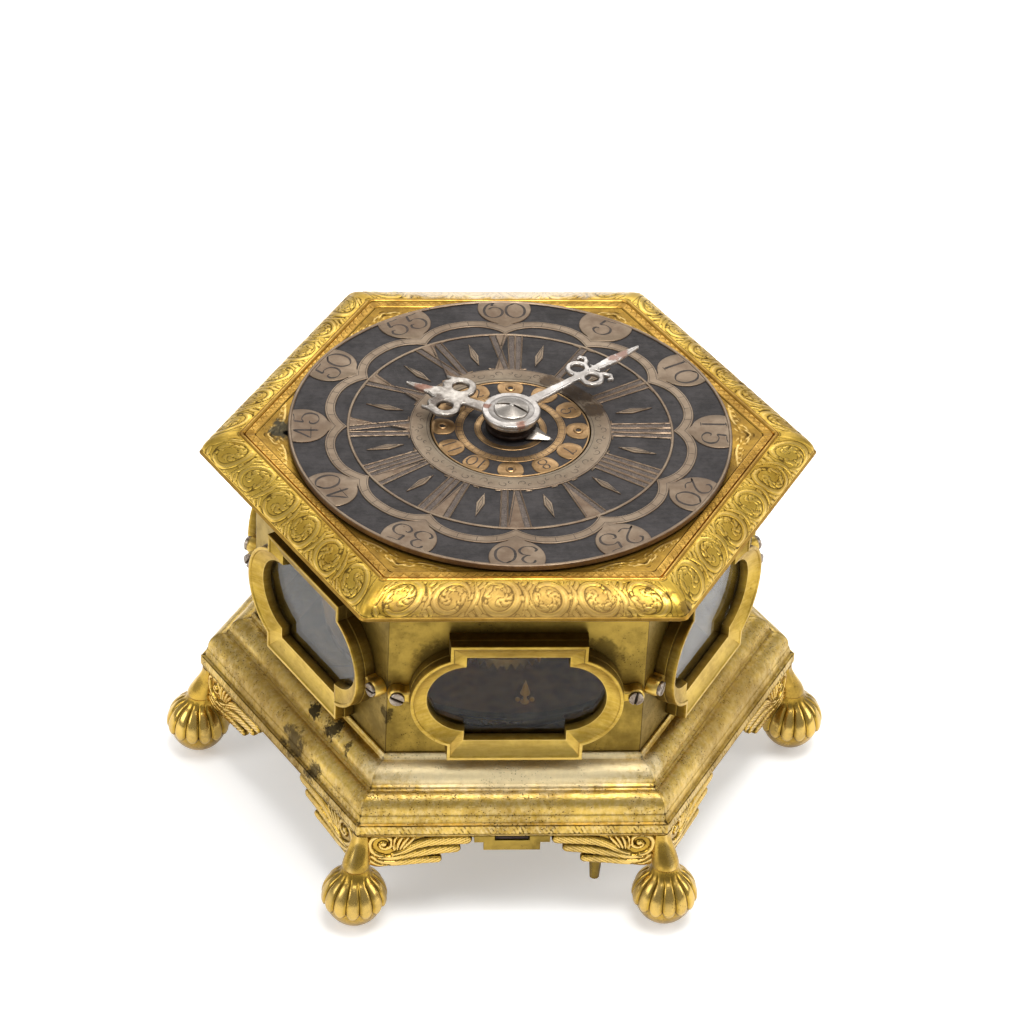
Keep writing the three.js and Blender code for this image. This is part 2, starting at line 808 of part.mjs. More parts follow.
// Hands: a pierced head of two rings between the stem and the point, drawn along +X
function handHead(reach, spread, ring, hole, boss, z0) {
  const z1 = z0 + handThick;
  const offset = reach * ringOffsetShare;
  const tipRoot = offset + ring / 2;
  let head = rod(boss, z0, z1, bossSides);
  const stem = prism([
    [0, -handStem / 2], [offset, -handStem / 3], [offset, handStem / 3], [0, handStem / 2],
  ], z0, z1);
  const tip = prism([
    [offset - ring / 2, -handStem / 2], [tipRoot, -handStem / 2], [reach, 0],
    [tipRoot, handStem / 2], [offset - ring / 2, handStem / 2],
  ], z0, z1);
  head = join(head, stem, tip);
  for (const side of [-1, 1]) {
    head = head.add(rod(ring, z0, z1, pipeSides).translate([offset, side * spread, 0]));
  }
  for (const side of [-1, 1]) {
    const bore = rod(hole, z0 - overrun, z1 + overrun, rodSides).translate([offset, side * spread, 0]);
    head = head.subtract(bore);
  }
  return head;
}

function minuteHand() {
  const foot0 = handTopZ - handThick;
  const head = handHead(minuteReach, minuteRingSpread, minuteRing, minuteRingHole, minuteBoss, foot0);
  const bore = rod(cannonPipe + closeFit, foot0 - overrun, handTopZ + overrun, pipeSides);
  return cut(head, bore).rotate([0, 0, minuteAngle]);
}

function hourHand() {
  const top = handTopZ - handThick - freeGap;
  const foot0 = top - handThick;
  const low = dialTopZ + freeGap;
  const head = handHead(hourReach, hourRingSpread, hourRing, hourRingHole, hourBoss, foot0);
  const collar = rod(hourBoss - handThick / 4, low, foot0 + handThick / 2, bossSides);
  const tail = prism([
    [0, -hourBoss / 2], [hourBoss, -handStem], [alarmTailReach, 0], [hourBoss, handStem],
    [0, hourBoss / 2],
  ], low, low + handThick).rotate([0, 0, 180]);
  const bore = rod(hourPipe + closeFit, low - overrun, top + overrun, bossSides);
  return cut(join(head, collar, tail), bore).rotate([0, 0, hourAngle]);
}

function handScrew() {
  const seat = handTopZ + closeFit;
  const top = seat + handScrewDome;
  const [shoulder, rise] = handScrewShoulderShares;
  const dome = turned([
    [0, seat], [handScrewRadius, seat], [handScrewRadius, seat + handScrewDome * handScrewRimShare],
    [handScrewRadius * shoulder, seat + handScrewDome * rise], [0, top],
  ], bossSides);
  const slot = block(
    -handScrewRadius - overrun, handScrewRadius + overrun, -screwSlot / 2, screwSlot / 2,
    seat + handScrewDome / 2, top + overrun,
  );
  return cut(dome, slot).rotate([0, 0, handScrewAngle]);
}

// Teeth: pointed, with rounded-off tips, on their pitch circle
function toothed(teeth, module, z0, z1, phase) {
  const pitch = (teeth * module) / 2;
  const root = pitch - dedendumShare * module;
  const tip = pitch + addendumShare * module;
  const step = (2 * Math.PI) / teeth;
  const outline = [];
  for (let i = 0; i < teeth; i += 1) {
    const middle = phase + i * step;
    for (const [share, r] of [[-rootWidthShare / 2, root], [0, tip], [rootWidthShare / 2, root]]) {
      const turn = middle + share * step;
      outline.push([r * Math.cos(turn), r * Math.sin(turn)]);
    }
  }
  return prism(outline, z0, z1);
}

// A wheel crossed out to four spokes between its hub and its rim
function crossedOut(wheel, radius, z0, z1) {
  const rim = radius * rimShare;
  const ring = rod(rim, z0 - overrun, z1 + overrun, pipeSides);
  const hub = rod(hubRadius, z0 - 2 * overrun, z1 + 2 * overrun, pivotSides);
  const half = spokeWidth / 2;
  const spokes = join(
    block(-rim, rim, -half, half, z0 - 2 * overrun, z1 + 2 * overrun),
    block(-half, half, -rim, rim, z0 - 2 * overrun, z1 + 2 * overrun),
  );
  return cut(wheel, cut(ring, hub, spokes));
}

// An arbor between the plates, with a thinner pivot in each plate
function arbor(top = upperPlateTopZ) {
  const low = lowerPlateTopZ + freeGap;
  const high = upperPlateZ - freeGap;
  return turned([
    [0, lowerPlateHeight], [pivotRadius, lowerPlateHeight], [pivotRadius, low],
    [arborRadius, low], [arborRadius, high], [pivotRadius, high], [pivotRadius, top], [0, top],
  ], pivotSides);
}

const polar = (radius, angle) => [radius * Math.cos(rad(angle)), radius * Math.sin(rad(angle))];
const plus = ([x, y], [u, v]) => [x + u, y + v];
const distanceFor = (teeth, pinion, module) => ((teeth + pinion) * module) / 2;

// Places of the arbors, seen from above
const fuseeAt = polar(distanceFor(greatTeeth, greatPinionTeeth, greatModule), fuseeAngle);
const barrelAt = polar(movementRadius * barrelDistanceShare, barrelAngle);
const thirdAt = polar(distanceFor(centreTeeth, centrePinionTeeth, centreModule), thirdAngle);
const contrateAt = plus(
  thirdAt, polar(distanceFor(thirdTeeth, thirdPinionTeeth, thirdModule), contrateAngle),
);
const vergeReach = contrateRadius + pinionLength + crownDepth + vergeGap;
const vergeAt = plus(contrateAt, polar(vergeReach, crownAngle));
const motionAt = polar(distanceFor(cannonTeeth, minuteTeeth, motionModule), motionAngle);
const hammerAt = [-movementRadius * hammerShare, -movementRadius * hammerShare];

// Phase of a follower that puts its gap on the tooth that points at it
function gapPhase(direction, teeth) {
  return rad(direction) + Math.PI - Math.PI / teeth;
}

function fusee() {
  const z0 = greatZ;
  const pitch = (greatTeeth * greatModule) / 2;
  const wheel = crossedOut(
    toothed(greatTeeth, greatModule, z0, z0 + wheelThick, rad(fuseeAngle + 180)),
    pitch, z0, z0 + wheelThick,
  );
  const foot0 = z0 + wheelThick / 2;
  const coneZ = foot0 + wheelThick;
  const profile = [[0, foot0], [fuseeFootRadius, foot0], [fuseeFootRadius, coneZ]];
  for (let i = 0; i < fuseeTurns; i += 1) {
    fuseeTurnShares.forEach((part, k) => {
      const share = (i + part) / fuseeTurns;
      const taper = fuseeTopRadius + (fuseeFootRadius - fuseeTopRadius) * (1 - share) ** 2;
      profile.push([taper - (k === 0 ? grooveDepth : 0), coneZ + share * fuseeHeight]);
    });
  }
  profile.push([fuseeTopRadius, coneZ + fuseeHeight], [0, coneZ + fuseeHeight]);
  const cone = turned(profile, pipeSides);
  const half = windingSquare / 2;
  const square = block(
    -half, half, -half, half, lowerPlateHeight - windingReach, lowerPlateTopZ + freeGap,
  );
  return join(wheel, cone, arbor(), square);
}

function barrel() {
  const z0 = greatZ;
  const z1 = z0 + barrelHeight;
  const lipRadius = barrelRadius + chainWidth;
  const drum = turned([
    [0, z0], [lipRadius, z0], [lipRadius, z0 + wheelThick], [barrelRadius, z0 + wheelThick],
    [barrelRadius, z1 - wheelThick], [lipRadius, z1 - wheelThick], [lipRadius, z1],
    [2 * hubRadius, z1], [2 * hubRadius, z1 + wheelThick], [0, z1 + wheelThick],
  ], bossSides);
  return join(drum, arbor());
}

// The chain: half round the barrel, straight across and half round the fusee's foot
function fuseeChain() {
  const z = greatZ + 3 * wheelThick + chainWidth;
  const gap = freeGap + chainWidth / 2;
  const [bx, by] = barrelAt;
  const [fx, fy] = fuseeAt;
  const reachB = barrelRadius + gap;
  const reachF = fuseeFootRadius + gap;
  const span = Math.hypot(bx - fx, by - fy);
  const base = Math.atan2(by - fy, bx - fx);
  const lean = Math.acos((reachF - reachB) / span);
  const touch = base - lean;
  const points = [];
  for (let i = chainBends; i > 0; i -= 1) {
    const t = touch + (Math.PI * i) / chainBends;
    points.push(new THREE.Vector3(bx + reachB * Math.cos(t), by + reachB * Math.sin(t), z));
  }
  for (let i = 0; i <= chainBends; i += 1) {
    const t = touch - (Math.PI * i) / chainBends;
    points.push(new THREE.Vector3(fx + reachF * Math.cos(t), fy + reachF * Math.sin(t), z));
  }
  const half = chainWidth / 2;
  const section = new THREE.Shape([
    new THREE.Vector2(-half, -half), new THREE.Vector2(half, -half),
    new THREE.Vector2(half, half), new THREE.Vector2(-half, half),
  ]);
  const curve = new THREE.CatmullRomCurve3(points, false, 'centripetal');
  const geometry = new THREE.ExtrudeGeometry(section, { steps: chainSteps, extrudePath: curve });
  return solidOf(geometry);
}

function centreWheel() {
  const z0 = centreZ;
  const wheel = crossedOut(
    toothed(centreTeeth, centreModule, z0, z0 + wheelThick, rad(thirdAngle)),
    (centreTeeth * centreModule) / 2, z0, z0 + wheelThick,
  );
  const low = greatZ + (wheelThick - pinionLength) / 2;
  const pinion = toothed(
    greatPinionTeeth, greatModule, low, low + pinionLength,
    gapPhase(fuseeAngle + 180, greatPinionTeeth),
  );
  return join(wheel, pinion, arbor(), rod(arborRadius, upperPlateZ - overrun, handTopZ));
}

function thirdWheel() {
  const z0 = thirdZ;
  const wheel = crossedOut(
    toothed(thirdTeeth, thirdModule, z0, z0 + wheelThick, rad(contrateAngle)),
    (thirdTeeth * thirdModule) / 2, z0, z0 + wheelThick,
  );
  const low = centreZ + (wheelThick - pinionLength) / 2;
  const pinion = toothed(
    centrePinionTeeth, centreModule, low, low + pinionLength,
    gapPhase(thirdAngle, centrePinionTeeth),
  );
  return join(wheel, pinion, arbor());
}

// The contrate wheel's teeth stand down from its rim, at right angles to the wheel
function contrateWheel() {
  const top = contrateZ;
  const root = top - wheelThick;
  const tip = top - contrateDepth;
  const outer = contrateRadius + contrateRim / 2;
  const inner = contrateRadius - contrateRim / 2;
  const columns = 2 * contrateTeeth;
  const ring = (radius, low) => Array.from({ length: columns }, (_, j) => {
    const turn = rad(crownAngle) + (2 * Math.PI * j) / columns;
    const z = low ? (j % 2 === 0 ? tip : root) : top;
    return [radius * Math.cos(turn), radius * Math.sin(turn), z];
  });
  const rim = loftedFrame([ring(inner, true), ring(outer, true), ring(outer, false), ring(inner, false)]);
  const half = spokeWidth / 2;
  const spokes = join(
    block(-contrateRadius, contrateRadius, -half, half, root, top),
    block(-half, half, -contrateRadius, contrateRadius, root, top),
    rod(hubRadius, root, top, rodSides),
  );
  const low = thirdZ + (wheelThick - pinionLength) / 2;
  const pinion = toothed(
    thirdPinionTeeth, thirdModule, low, low + pinionLength,
    gapPhase(contrateAngle, thirdPinionTeeth),
  );
  return join(rim, spokes, pinion, arbor());
}

// The crown wheel on its level arbor: saw teeth along the axis, pinion under the contrate wheel
function crownWheel() {
  const face = contrateRadius + pinionLength / 2;
  const tipAt = vergeReach - vergeGap;
  const rootAt = tipAt - crownDepth / 2;
  const columns = 2 * crownTeeth;
  const ring = (radius, toothedEdge) => Array.from({ length: columns }, (_, j) => {
    const turn = (2 * Math.PI * (Math.floor(j / 2) + (j % 2) * crownSlopeShare)) / crownTeeth;
    const z = toothedEdge ? (j % 2 === 0 ? tipAt : rootAt) : tipAt - crownDepth;
    return [radius * Math.cos(turn), radius * Math.sin(turn), z];
  });
  const inner = crownRadius * crownWallShare;
  const rim = loftedFrame([
    ring(inner, false), ring(crownRadius, false), ring(crownRadius, true), ring(inner, true),
  ]);
  const backAt = tipAt - crownDepth;
  const disc = rod(inner + 2 * closeFit, backAt, backAt + wheelThick / 2, pipeSides);
  const pinion = toothed(
    crownPinionTeeth, crownPinionModule, contrateRadius - pinionLength / 2, face, 0,
  );
  const shaft = rod(pivotRadius, contrateRadius - pinionLength, tipAt - crownDepth / 4, pivotSides);
  return join(rim, disc, pinion, shaft);
}

// The balance on its verge, whose two pallets face the crown wheel's top and bottom teeth
function balance() {
  const z1 = lowerPlateHeight - balanceDrop;
  const z0 = z1 - balanceThick;
  const axis = crownZ;
  const rim = cut(
    rod(balanceRadius, z0, z1, bossSides),
    rod(balanceRadius - balanceRim, z0 - overrun, z1 + overrun, bossSides),
  );
  let wheel = join(rim, rod(hubRadius, z0, z1, rodSides));
  for (let i = 0; i < balanceSpokes; i += 1) {
    const spoke = block(0, balanceRadius - balanceRim / 2, -spokeWidth / 2, spokeWidth / 2, z0, z1);
    wheel = wheel.add(spoke.rotate([0, 0, (360 / balanceSpokes) * i]));
  }
  const staffTop = axis + crownRadius + palletHeight;
  const staff = rod(vergeRadius, z0 - cockThick - freeGap, staffTop, pivotSides);
  const reach = vergeRadius + palletLength;
  const pallets = [-1, 1].map((side) => {
    const middle = axis + side * (crownRadius - palletHeight / 2);
    const flag = block(
      0, reach, -vergeRadius / 2, vergeRadius / 2, middle - palletHeight / 2, middle + palletHeight / 2,
    );
    return flag.rotate([0, 0, crownAngle + 180 + side * balanceSwing]);
  });
  return join(wheel, staff, ...pallets);
}

// Plates of the movement
function pivotHole([x, y], radius, z0) {
  const hole = rod(radius + runningFit, z0 - overrun, z0 + movementPlate + overrun, pivotSides);
  return hole.translate([x, y, 0]);
}

function pillarAngles() {
  const step = 360 / pillars;
  return Array.from({ length: pillars }, (_, i) => step * i + step / 2);
}

function pillarPlate() {
  const z0 = lowerPlateHeight;
  let plate = rod(movementRadius, z0, lowerPlateTopZ, plateSides);
  const middle = (lowerPlateTopZ + upperPlateZ) / 2;
  const waist = pillarRadius * pillarWaistShare;
  for (const angle of pillarAngles()) {
    const pillar = turned([
      [0, lowerPlateTopZ - overrun], [pillarRadius, lowerPlateTopZ - overrun],
      [waist, lowerPlateTopZ + 2 * pillarRadius], [waist, middle - pillarRadius],
      [pillarRadius, middle], [waist, middle + pillarRadius],
      [waist, upperPlateZ - 2 * pillarRadius], [pillarRadius, upperPlateZ - closeFit],
      [0, upperPlateZ - closeFit],
    ], pivotSides);
    plate = plate.add(pillar.translate([...polar(pillarCircle, angle), 0]));
  }
  const corner = (windingSquare / 2) * Math.SQRT2;
  return cut(
    plate, pivotHole([0, 0], pivotRadius, z0), pivotHole(fuseeAt, corner, z0),
    pivotHole(barrelAt, pivotRadius, z0), pivotHole(thirdAt, pivotRadius, z0),
    pivotHole(contrateAt, pivotRadius, z0), pivotHole(vergeAt, vergeRadius + freeGap, z0),
    pivotHole(hammerAt, pivotRadius, z0),
  );
}

function topPlate() {
  const z0 = upperPlateZ;
  let plate = rod(movementRadius, z0, upperPlateTopZ, plateSides);
  for (const angle of pillarAngles()) {
    const dialFoot = rod(dialFootRadius, upperPlateTopZ - overrun / 2, plateFootZ - closeFit);
    plate = plate.add(dialFoot.translate([...polar(pillarCircle, angle), 0]));
  }
  plate = plate.add(rod(pivotRadius, z0, motionStudZ).translate([...motionAt, 0]));
  return cut(
    plate, pivotHole([0, 0], arborRadius, z0), pivotHole(fuseeAt, pivotRadius, z0),
    pivotHole(barrelAt, pivotRadius, z0), pivotHole(thirdAt, pivotRadius, z0),
    pivotHole(contrateAt, pivotRadius, z0),
  );
}

// Motion work: cannon pinion, minute wheel and hour wheel turn the hands twelve to one
const motionZ = upperPlateTopZ + 4 * freeGap;
const motionStudZ = motionZ + 3 * wheelThick + pinionLength / 2;

function cannonPinion() {
  const pinion = toothed(
    cannonTeeth, motionModule, motionZ, motionZ + 2 * wheelThick, rad(motionAngle),
  );
  const pipe = rod(cannonPipe, motionZ, handTopZ - freeGap, pipeSides);
  const bore = rod(arborRadius + runningFit, motionZ - overrun, handTopZ + overrun);
  return cut(join(pinion, pipe), bore);
}

function minuteWheel() {
  const z0 = motionZ + wheelThick / 2;
  const wheel = toothed(
    minuteTeeth, motionModule, z0, z0 + wheelThick, gapPhase(motionAngle, minuteTeeth),
  );
  const pinion = toothed(
    minutePinionTeeth, motionModule, z0 + wheelThick / 2, motionStudZ - freeGap, rad(motionAngle + 180),
  );
  const bore = rod(pivotRadius + 2 * runningFit, motionZ - overrun, motionStudZ + overrun, pivotSides);
  return cut(join(wheel, pinion), bore);
}

function hourWheel() {
  const z0 = motionZ + 2 * wheelThick + freeGap;
  const wheel = toothed(
    hourTeeth, motionModule, z0, z0 + wheelThick, gapPhase(motionAngle + 180, hourTeeth),
  );
  const pipe = rod(hourPipe, z0, handTopZ - handThick - 2 * freeGap, bossSides);
  const bore = rod(cannonPipe + runningFit, z0 - overrun, handTopZ, pipeSides);
  return cut(join(wheel, pipe), bore);
}

// The cock: a round table under the balance on a foot that stands on the lower plate
function balanceCock() {
  const z1 = lowerPlateHeight - balanceDrop - balanceThick - freeGap;
  const z0 = z1 - cockThick;
  const reach = balanceRadius + cockFootWidth;
  const table = rod(cockRadius, z0, z1, bossSides);
  const arm = block(0, reach, -cockFootWidth / 2, cockFootWidth / 2, z0, z1);
  const footBlock = block(
    balanceRadius + 2 * freeGap, reach, -cockFootWidth / 2, cockFootWidth / 2,
    z0, lowerPlateHeight - closeFit,
  );
  const bore = rod(vergeRadius + runningFit, z0 - overrun, z1 + overrun, pivotSides);
  let cock = cut(join(table, arm, footBlock), bore);
  const [holeShare, circleShare] = cockHoleShares;
  for (let i = 1; i <= cockHoles; i += 1) {
    const hole = rod(cockRadius * holeShare, z0 - overrun, z1 + overrun, pivotSides)
      .translate([...polar(cockRadius * circleShare, (360 / (cockHoles + 1)) * i), 0]);
    cock = cock.subtract(hole);
  }
  return cock;
}

// The bell opens upwards round the balance and is held on its stand in the bottom plate
function bell() {
  const z0 = bellFootZ;
  const bellHeight = bellRimZ - bellFootZ;
  const outer = [];
  const inner = [];
  for (let i = 0; i <= bellSteps; i += 1) {
    const t = ((i / bellSteps) * Math.PI) / 2;
    const [out, up] = [Math.sin(t) ** bellCurve, 1 - Math.cos(t)];
    outer.push([bellHole + (bellRadius - bellHole) * out, z0 + up * bellHeight]);
    inner.push([
      bellHole + (bellRadius - bellWall - bellHole) * out,
      z0 + bellWall + up * (bellHeight - bellWall),
    ]);
  }
  const dish = turned([...outer, ...inner.reverse()], bellSides);
  const keyHole = rod(windingHole, z0 - overrun, bellRimZ, pipeSides).translate([...fuseeAt, 0]);
  return cut(dish, keyHole);
}

function bellStand() {
  const foot0 = footHeight - bottomThick;
  const seat = bellFootZ - closeFit;
  const nut = bellFootZ + bellWall + closeFit;
  const nutRadius = nutShare * bellHole;
  return turned([
    [0, foot0], [bellHole - closeFit, foot0], [bellHole - closeFit, footHeight + closeFit],
    [2 * bellHole, footHeight + closeFit], [2 * bellHole, seat], [bellHole - closeFit, seat],
    [bellHole - closeFit, nut], [nutRadius, nut], [nutRadius, nut + bellHole], [0, nut + bellHole],
  ], pipeSides);
}

function alarmHammer() {
  const armTop = lowerPlateHeight - 2 * freeGap;
  const armZ = armTop - hammerArm;
  const arm = block(0, hammerLength, -hammerArm / 2, hammerArm / 2, armZ, armTop);
  const head = rod(hammerHead, armTop - hammerHeadHeight, armTop, pipeSides).translate([hammerLength, 0, 0]);
  const hub = rod(hammerHead, armZ, armTop, rodSides);
  const pivot = rod(pivotRadius, armZ, lowerPlateTopZ + hammerHeadHeight, pivotSides);
  return join(arm, head, hub, pivot).rotate([0, 0, hammerAngle]);
}

// Everything in its place
place('bottom_plate', bottomPlate(), 'gilt');
place('hinge_pin', hingePin(), 'steel');
place('catch_plate', catchPlate(), 'gilt');
place('catch_bolt', catchBolt(), 'steel');
place('bell', bell(), 'bellMetal');
place('bell_stand', bellStand(), 'steel');
cornerNames.forEach((name, i) => {
  place(`foot_${name}`, foot(), 'gilt').rotation.z = rad(sideStep * i);
});

place('base_moulding', baseMoulding(), 'gilt');
place('case_walls', caseWalls(), 'gilt');
place('top_frame', topFrame(), 'gilt');
place('dial_plate', dialPlate(), 'gilt');
place('chapter_disc', chapterDisc(), 'silvered');
sideNames.forEach((name, i) => {
  const side = sideGroup(sideAngles[i]);
  place(`bezel_${name}`, bezel(), 'paleGilt', side).position.y = windowZ;
  place(`glass_${name}`, glassPane(), 'glass', side).position.y = windowZ;
  for (const [hand, sign] of [['left', -1], ['right', 1]]) {
    const screw = place(`screw_${name}_${hand}`, bezelScrew(), 'steel', side);
    screw.position.set(sign * lugOffset, windowZ, 0);
    screw.rotation.z = rad(sign * screwSlotAngle + sideStep * i);
  }
});

place('pillar_plate', pillarPlate(), 'brass');
place('top_plate', topPlate(), 'brass');
place('fusee', fusee(), 'brass').position.set(...fuseeAt, 0);
place('barrel', barrel(), 'brass').position.set(...barrelAt, 0);
place('fusee_chain', fuseeChain(), 'steel');
place('centre_wheel', centreWheel(), 'brass');
place('third_wheel', thirdWheel(), 'brass').position.set(...thirdAt, 0);
place('contrate_wheel', contrateWheel(), 'brass').position.set(...contrateAt, 0);
const crownSide = sideGroup(crownAngle);
crownSide.position.set(...contrateAt, 0);
place('crown_wheel', crownWheel(), 'brass', crownSide).position.y = crownZ;
place('balance', balance(), 'brass').position.set(...vergeAt, 0);
const cock = place('balance_cock', balanceCock(), 'brass');
cock.position.set(...vergeAt, 0);
place('alarm_hammer', alarmHammer(), 'steel').position.set(...hammerAt, 0);
place('cannon_pinion', cannonPinion(), 'steel');
place('minute_wheel', minuteWheel(), 'brass').position.set(...motionAt, 0);
place('hour_wheel', hourWheel(), 'brass');
place('alarm_disc', alarmDisc(), 'copperGilt');
place('hour_hand', hourHand(), 'steel');
place('minute_hand', minuteHand(), 'steel');
place('hand_screw', handScrew(), 'steel');

export default group;
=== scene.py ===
import json
import math
import bpy
import numpy as np
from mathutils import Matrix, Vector

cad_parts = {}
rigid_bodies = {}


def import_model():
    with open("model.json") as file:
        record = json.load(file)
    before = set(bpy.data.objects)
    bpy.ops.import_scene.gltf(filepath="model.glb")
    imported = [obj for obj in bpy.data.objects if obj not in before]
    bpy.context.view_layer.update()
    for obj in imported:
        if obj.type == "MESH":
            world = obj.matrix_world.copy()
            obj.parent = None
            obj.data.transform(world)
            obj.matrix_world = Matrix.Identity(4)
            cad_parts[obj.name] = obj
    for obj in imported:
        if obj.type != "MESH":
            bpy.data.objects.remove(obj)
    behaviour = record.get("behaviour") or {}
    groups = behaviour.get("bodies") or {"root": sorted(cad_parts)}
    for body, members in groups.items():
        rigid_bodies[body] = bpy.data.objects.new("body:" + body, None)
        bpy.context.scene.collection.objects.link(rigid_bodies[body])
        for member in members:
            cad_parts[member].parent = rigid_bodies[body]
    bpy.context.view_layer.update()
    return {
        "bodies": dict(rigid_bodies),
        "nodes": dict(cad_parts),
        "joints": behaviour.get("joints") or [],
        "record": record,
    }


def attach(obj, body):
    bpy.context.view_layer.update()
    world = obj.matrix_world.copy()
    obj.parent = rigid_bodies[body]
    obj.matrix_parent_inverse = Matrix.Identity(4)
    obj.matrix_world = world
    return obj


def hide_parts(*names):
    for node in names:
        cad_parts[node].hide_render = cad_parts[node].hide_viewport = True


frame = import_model()
nodes = frame["nodes"]
mm = 0.001
tan30 = math.tan(math.radians(30))
cos30 = math.cos(math.radians(30))
print("frame loaded:", len(nodes), "nodes")

# small sums that all parts use


def pick(look, names):
    # the values of some keys, in the order of their names
    return [look[name] for name in names.split()]


def wayOf(degrees):
    # cosine and sine of an angle
    return math.cos(math.radians(degrees)), math.sin(math.radians(degrees))


def polar(radius, turn):
    # x and y at a radius and an angle in radians
    return radius * np.cos(turn), radius * np.sin(turn)


def fullTurn(count):
    # angles evenly round a circle
    return np.linspace(0, 2 * math.pi, count, endpoint=False)


def unit(value):
    # kept between 0 and 1
    return np.clip(value, 0, 1)


def peak(distance, width):
    # e to the power -(distance / width)^2: 1 on a line, falling on both sides of it
    return np.exp(-(distance / width) ** 2)


def eased(share):
    # 3 t^2 - 2 t^3
    return share * share * (3 - 2 * share)


def level(z, *flat):
    # flat points, as x and y or as pairs, set at one height
    return np.column_stack([*flat, np.full(len(flat[0]), z)])


def closed(line):
    # the line's first point again at its end
    return np.vstack([line, line[:1]])


def newMaterial(name, **values):
    # a material whose Principled shader has these inputs set
    material = bpy.data.materials.new(name)
    material.use_nodes = True
    shader = material.node_tree.nodes["Principled BSDF"]
    for key, value in values.items():
        shader.inputs[key.replace("_", " ")].default_value = value
    return material, material.node_tree, shader

# camera, light and floor

cameraPlace = dict(
    place=(-0.071461065, -0.849839354, 0.731091072),
    turn=(52.371325, -2.334815, -3.101859),
    lens=154.994,
    sensor=36.0,
    near=0.01,
)
studio = dict(
    floorWhite=0.9, floorRough=0.6, floorShine=0.2, floorGlow=0.33, floorHalf=6.0,
    worldStrength=0.42, worldColour=(1.0, 1.0, 1.0, 1.0),
    # name: place (m), size (m), power (W), colour
    lamps=[
        ("lampTop", (0.15, -0.15, 1.5), (0.9, 0.7), 19.0, (1.0, 0.985, 0.96)),
        ("lampLeft", (-1.3, -0.5, 0.9), (0.7, 1.0), 8.0, (1.0, 1.0, 1.0)),
        ("lampRight", (1.4, -0.2, 0.8), (0.6, 1.0), 7.0, (1.0, 0.99, 0.97)),
        ("lampBack", (0.1, 1.4, 0.95), (1.4, 0.5), 6.0, (1.0, 1.0, 1.0)),
    ],
    aim=(0.0, 0.0, 0.06),
)


def makeCamera(look):
    # the camera that matches the photograph
    data = bpy.data.cameras.new("camera")
    data.lens = look["lens"]
    data.sensor_width = look["sensor"]
    data.clip_start = look["near"]
    camera = bpy.data.objects.new("camera", data)
    camera.location = look["place"]
    camera.rotation_euler = [math.radians(a) for a in look["turn"]]
    bpy.context.scene.collection.objects.link(camera)
    bpy.context.scene.camera = camera


def makeStudio(look):
    # a white floor and world, and area lamps that aim at the clock
    scene = bpy.context.scene
    scene.view_settings.view_transform = "Standard"
    world = bpy.data.worlds.new("studioWorld")
    world.use_nodes = True
    back = world.node_tree.nodes["Background"]
    back.inputs[0].default_value = look["worldColour"]
    back.inputs[1].default_value = look["worldStrength"]
    scene.world = world
    for name, place, size, power, colour in look["lamps"]:
        light = bpy.data.lights.new(name, "AREA")
        light.shape = "RECTANGLE"
        light.size, light.size_y = size
        light.energy = power
        light.color = colour
        lamp = bpy.data.objects.new(name, light)
        lamp.location = place
        aim = Vector(look["aim"]) - Vector(place)
        lamp.rotation_euler = aim.to_track_quat("-Z", "Y").to_euler()
        scene.collection.objects.link(lamp)
    half = look["floorHalf"]
    mesh = bpy.data.meshes.new("floor")
    corners = [(-half, -half, 0), (half, -half, 0), (half, half, 0), (-half, half, 0)]
    mesh.from_pydata(corners, [], [(0, 1, 2, 3)])
    floor = bpy.data.objects.new("floor", mesh)
    scene.collection.objects.link(floor)
    paper, _, _ = newMaterial(
        "floorPaper", Base_Color=(look["floorWhite"],) * 3 + (1,), Roughness=look["floorRough"],
        Specular_IOR_Level=look["floorShine"], Emission_Color=(1, 1, 1, 1), Emission_Strength=look["floorGlow"],
    )
    floor.data.materials.append(paper)


makeCamera(cameraPlace)
makeStudio(studio)
print("camera and studio ready")

# shader groups


def newGroup(name, outputs, **inputs):
    # a shader group: an input with three numbers is a vector, all others are single numbers
    group = bpy.data.node_groups.new(name, "ShaderNodeTree")
    for label, value in inputs.items():
        kind = "NodeSocketVector" if isinstance(value, tuple) else "NodeSocketFloat"
        group.interface.new_socket(label, in_out="INPUT", socket_type=kind).default_value = value
    for label in outputs:
        group.interface.new_socket(label, in_out="OUTPUT", socket_type="NodeSocketFloat")
    return group, group.nodes.new("NodeGroupInput").outputs, group.nodes.new("NodeGroupOutput").inputs


def addNode(tree, kind, settings=None, **links):
    # one node with its settings; a socket is linked and a plain value written, by input name or as i and its number
    node = tree.nodes.new(kind)
    for key, value in (settings or {}).items():
        setattr(node, key, value)
    for key, value in links.items():
        slot = node.inputs[int(key[1:]) if key[1:].isdigit() else key.replace("_", " ")]
        if isinstance(value, bpy.types.NodeSocket):
            tree.links.new(value, slot)
        else:
            slot.default_value = value
    return node


def calc(tree, operation, a, b=0.0, c=0.0, clamp=False):
    # one sum of up to three numbers
    return addNode(tree, "ShaderNodeMath", dict(operation=operation, use_clamp=clamp), i0=a, i1=b, i2=c).outputs[0]


def vectorCalc(tree, operation, **values):
    # one sum of vectors
    node = addNode(tree, "ShaderNodeVectorMath", dict(operation=operation), **values)
    return node.outputs["Value" if operation == "LENGTH" else "Vector"]


def ramp(tree, value, low, high):
    # 0 below low, 1 above high, smooth between
    node = addNode(tree, "ShaderNodeMapRange", dict(interpolation_type="SMOOTHSTEP"), Value=value, From_Min=low,
                   From_Max=high)
    return node.outputs["Result"]


def fall(tree, value, low, high):
    # 1 below low, 0 above high, smooth between
    return calc(tree, "SUBTRACT", 1.0, ramp(tree, value, low, high))


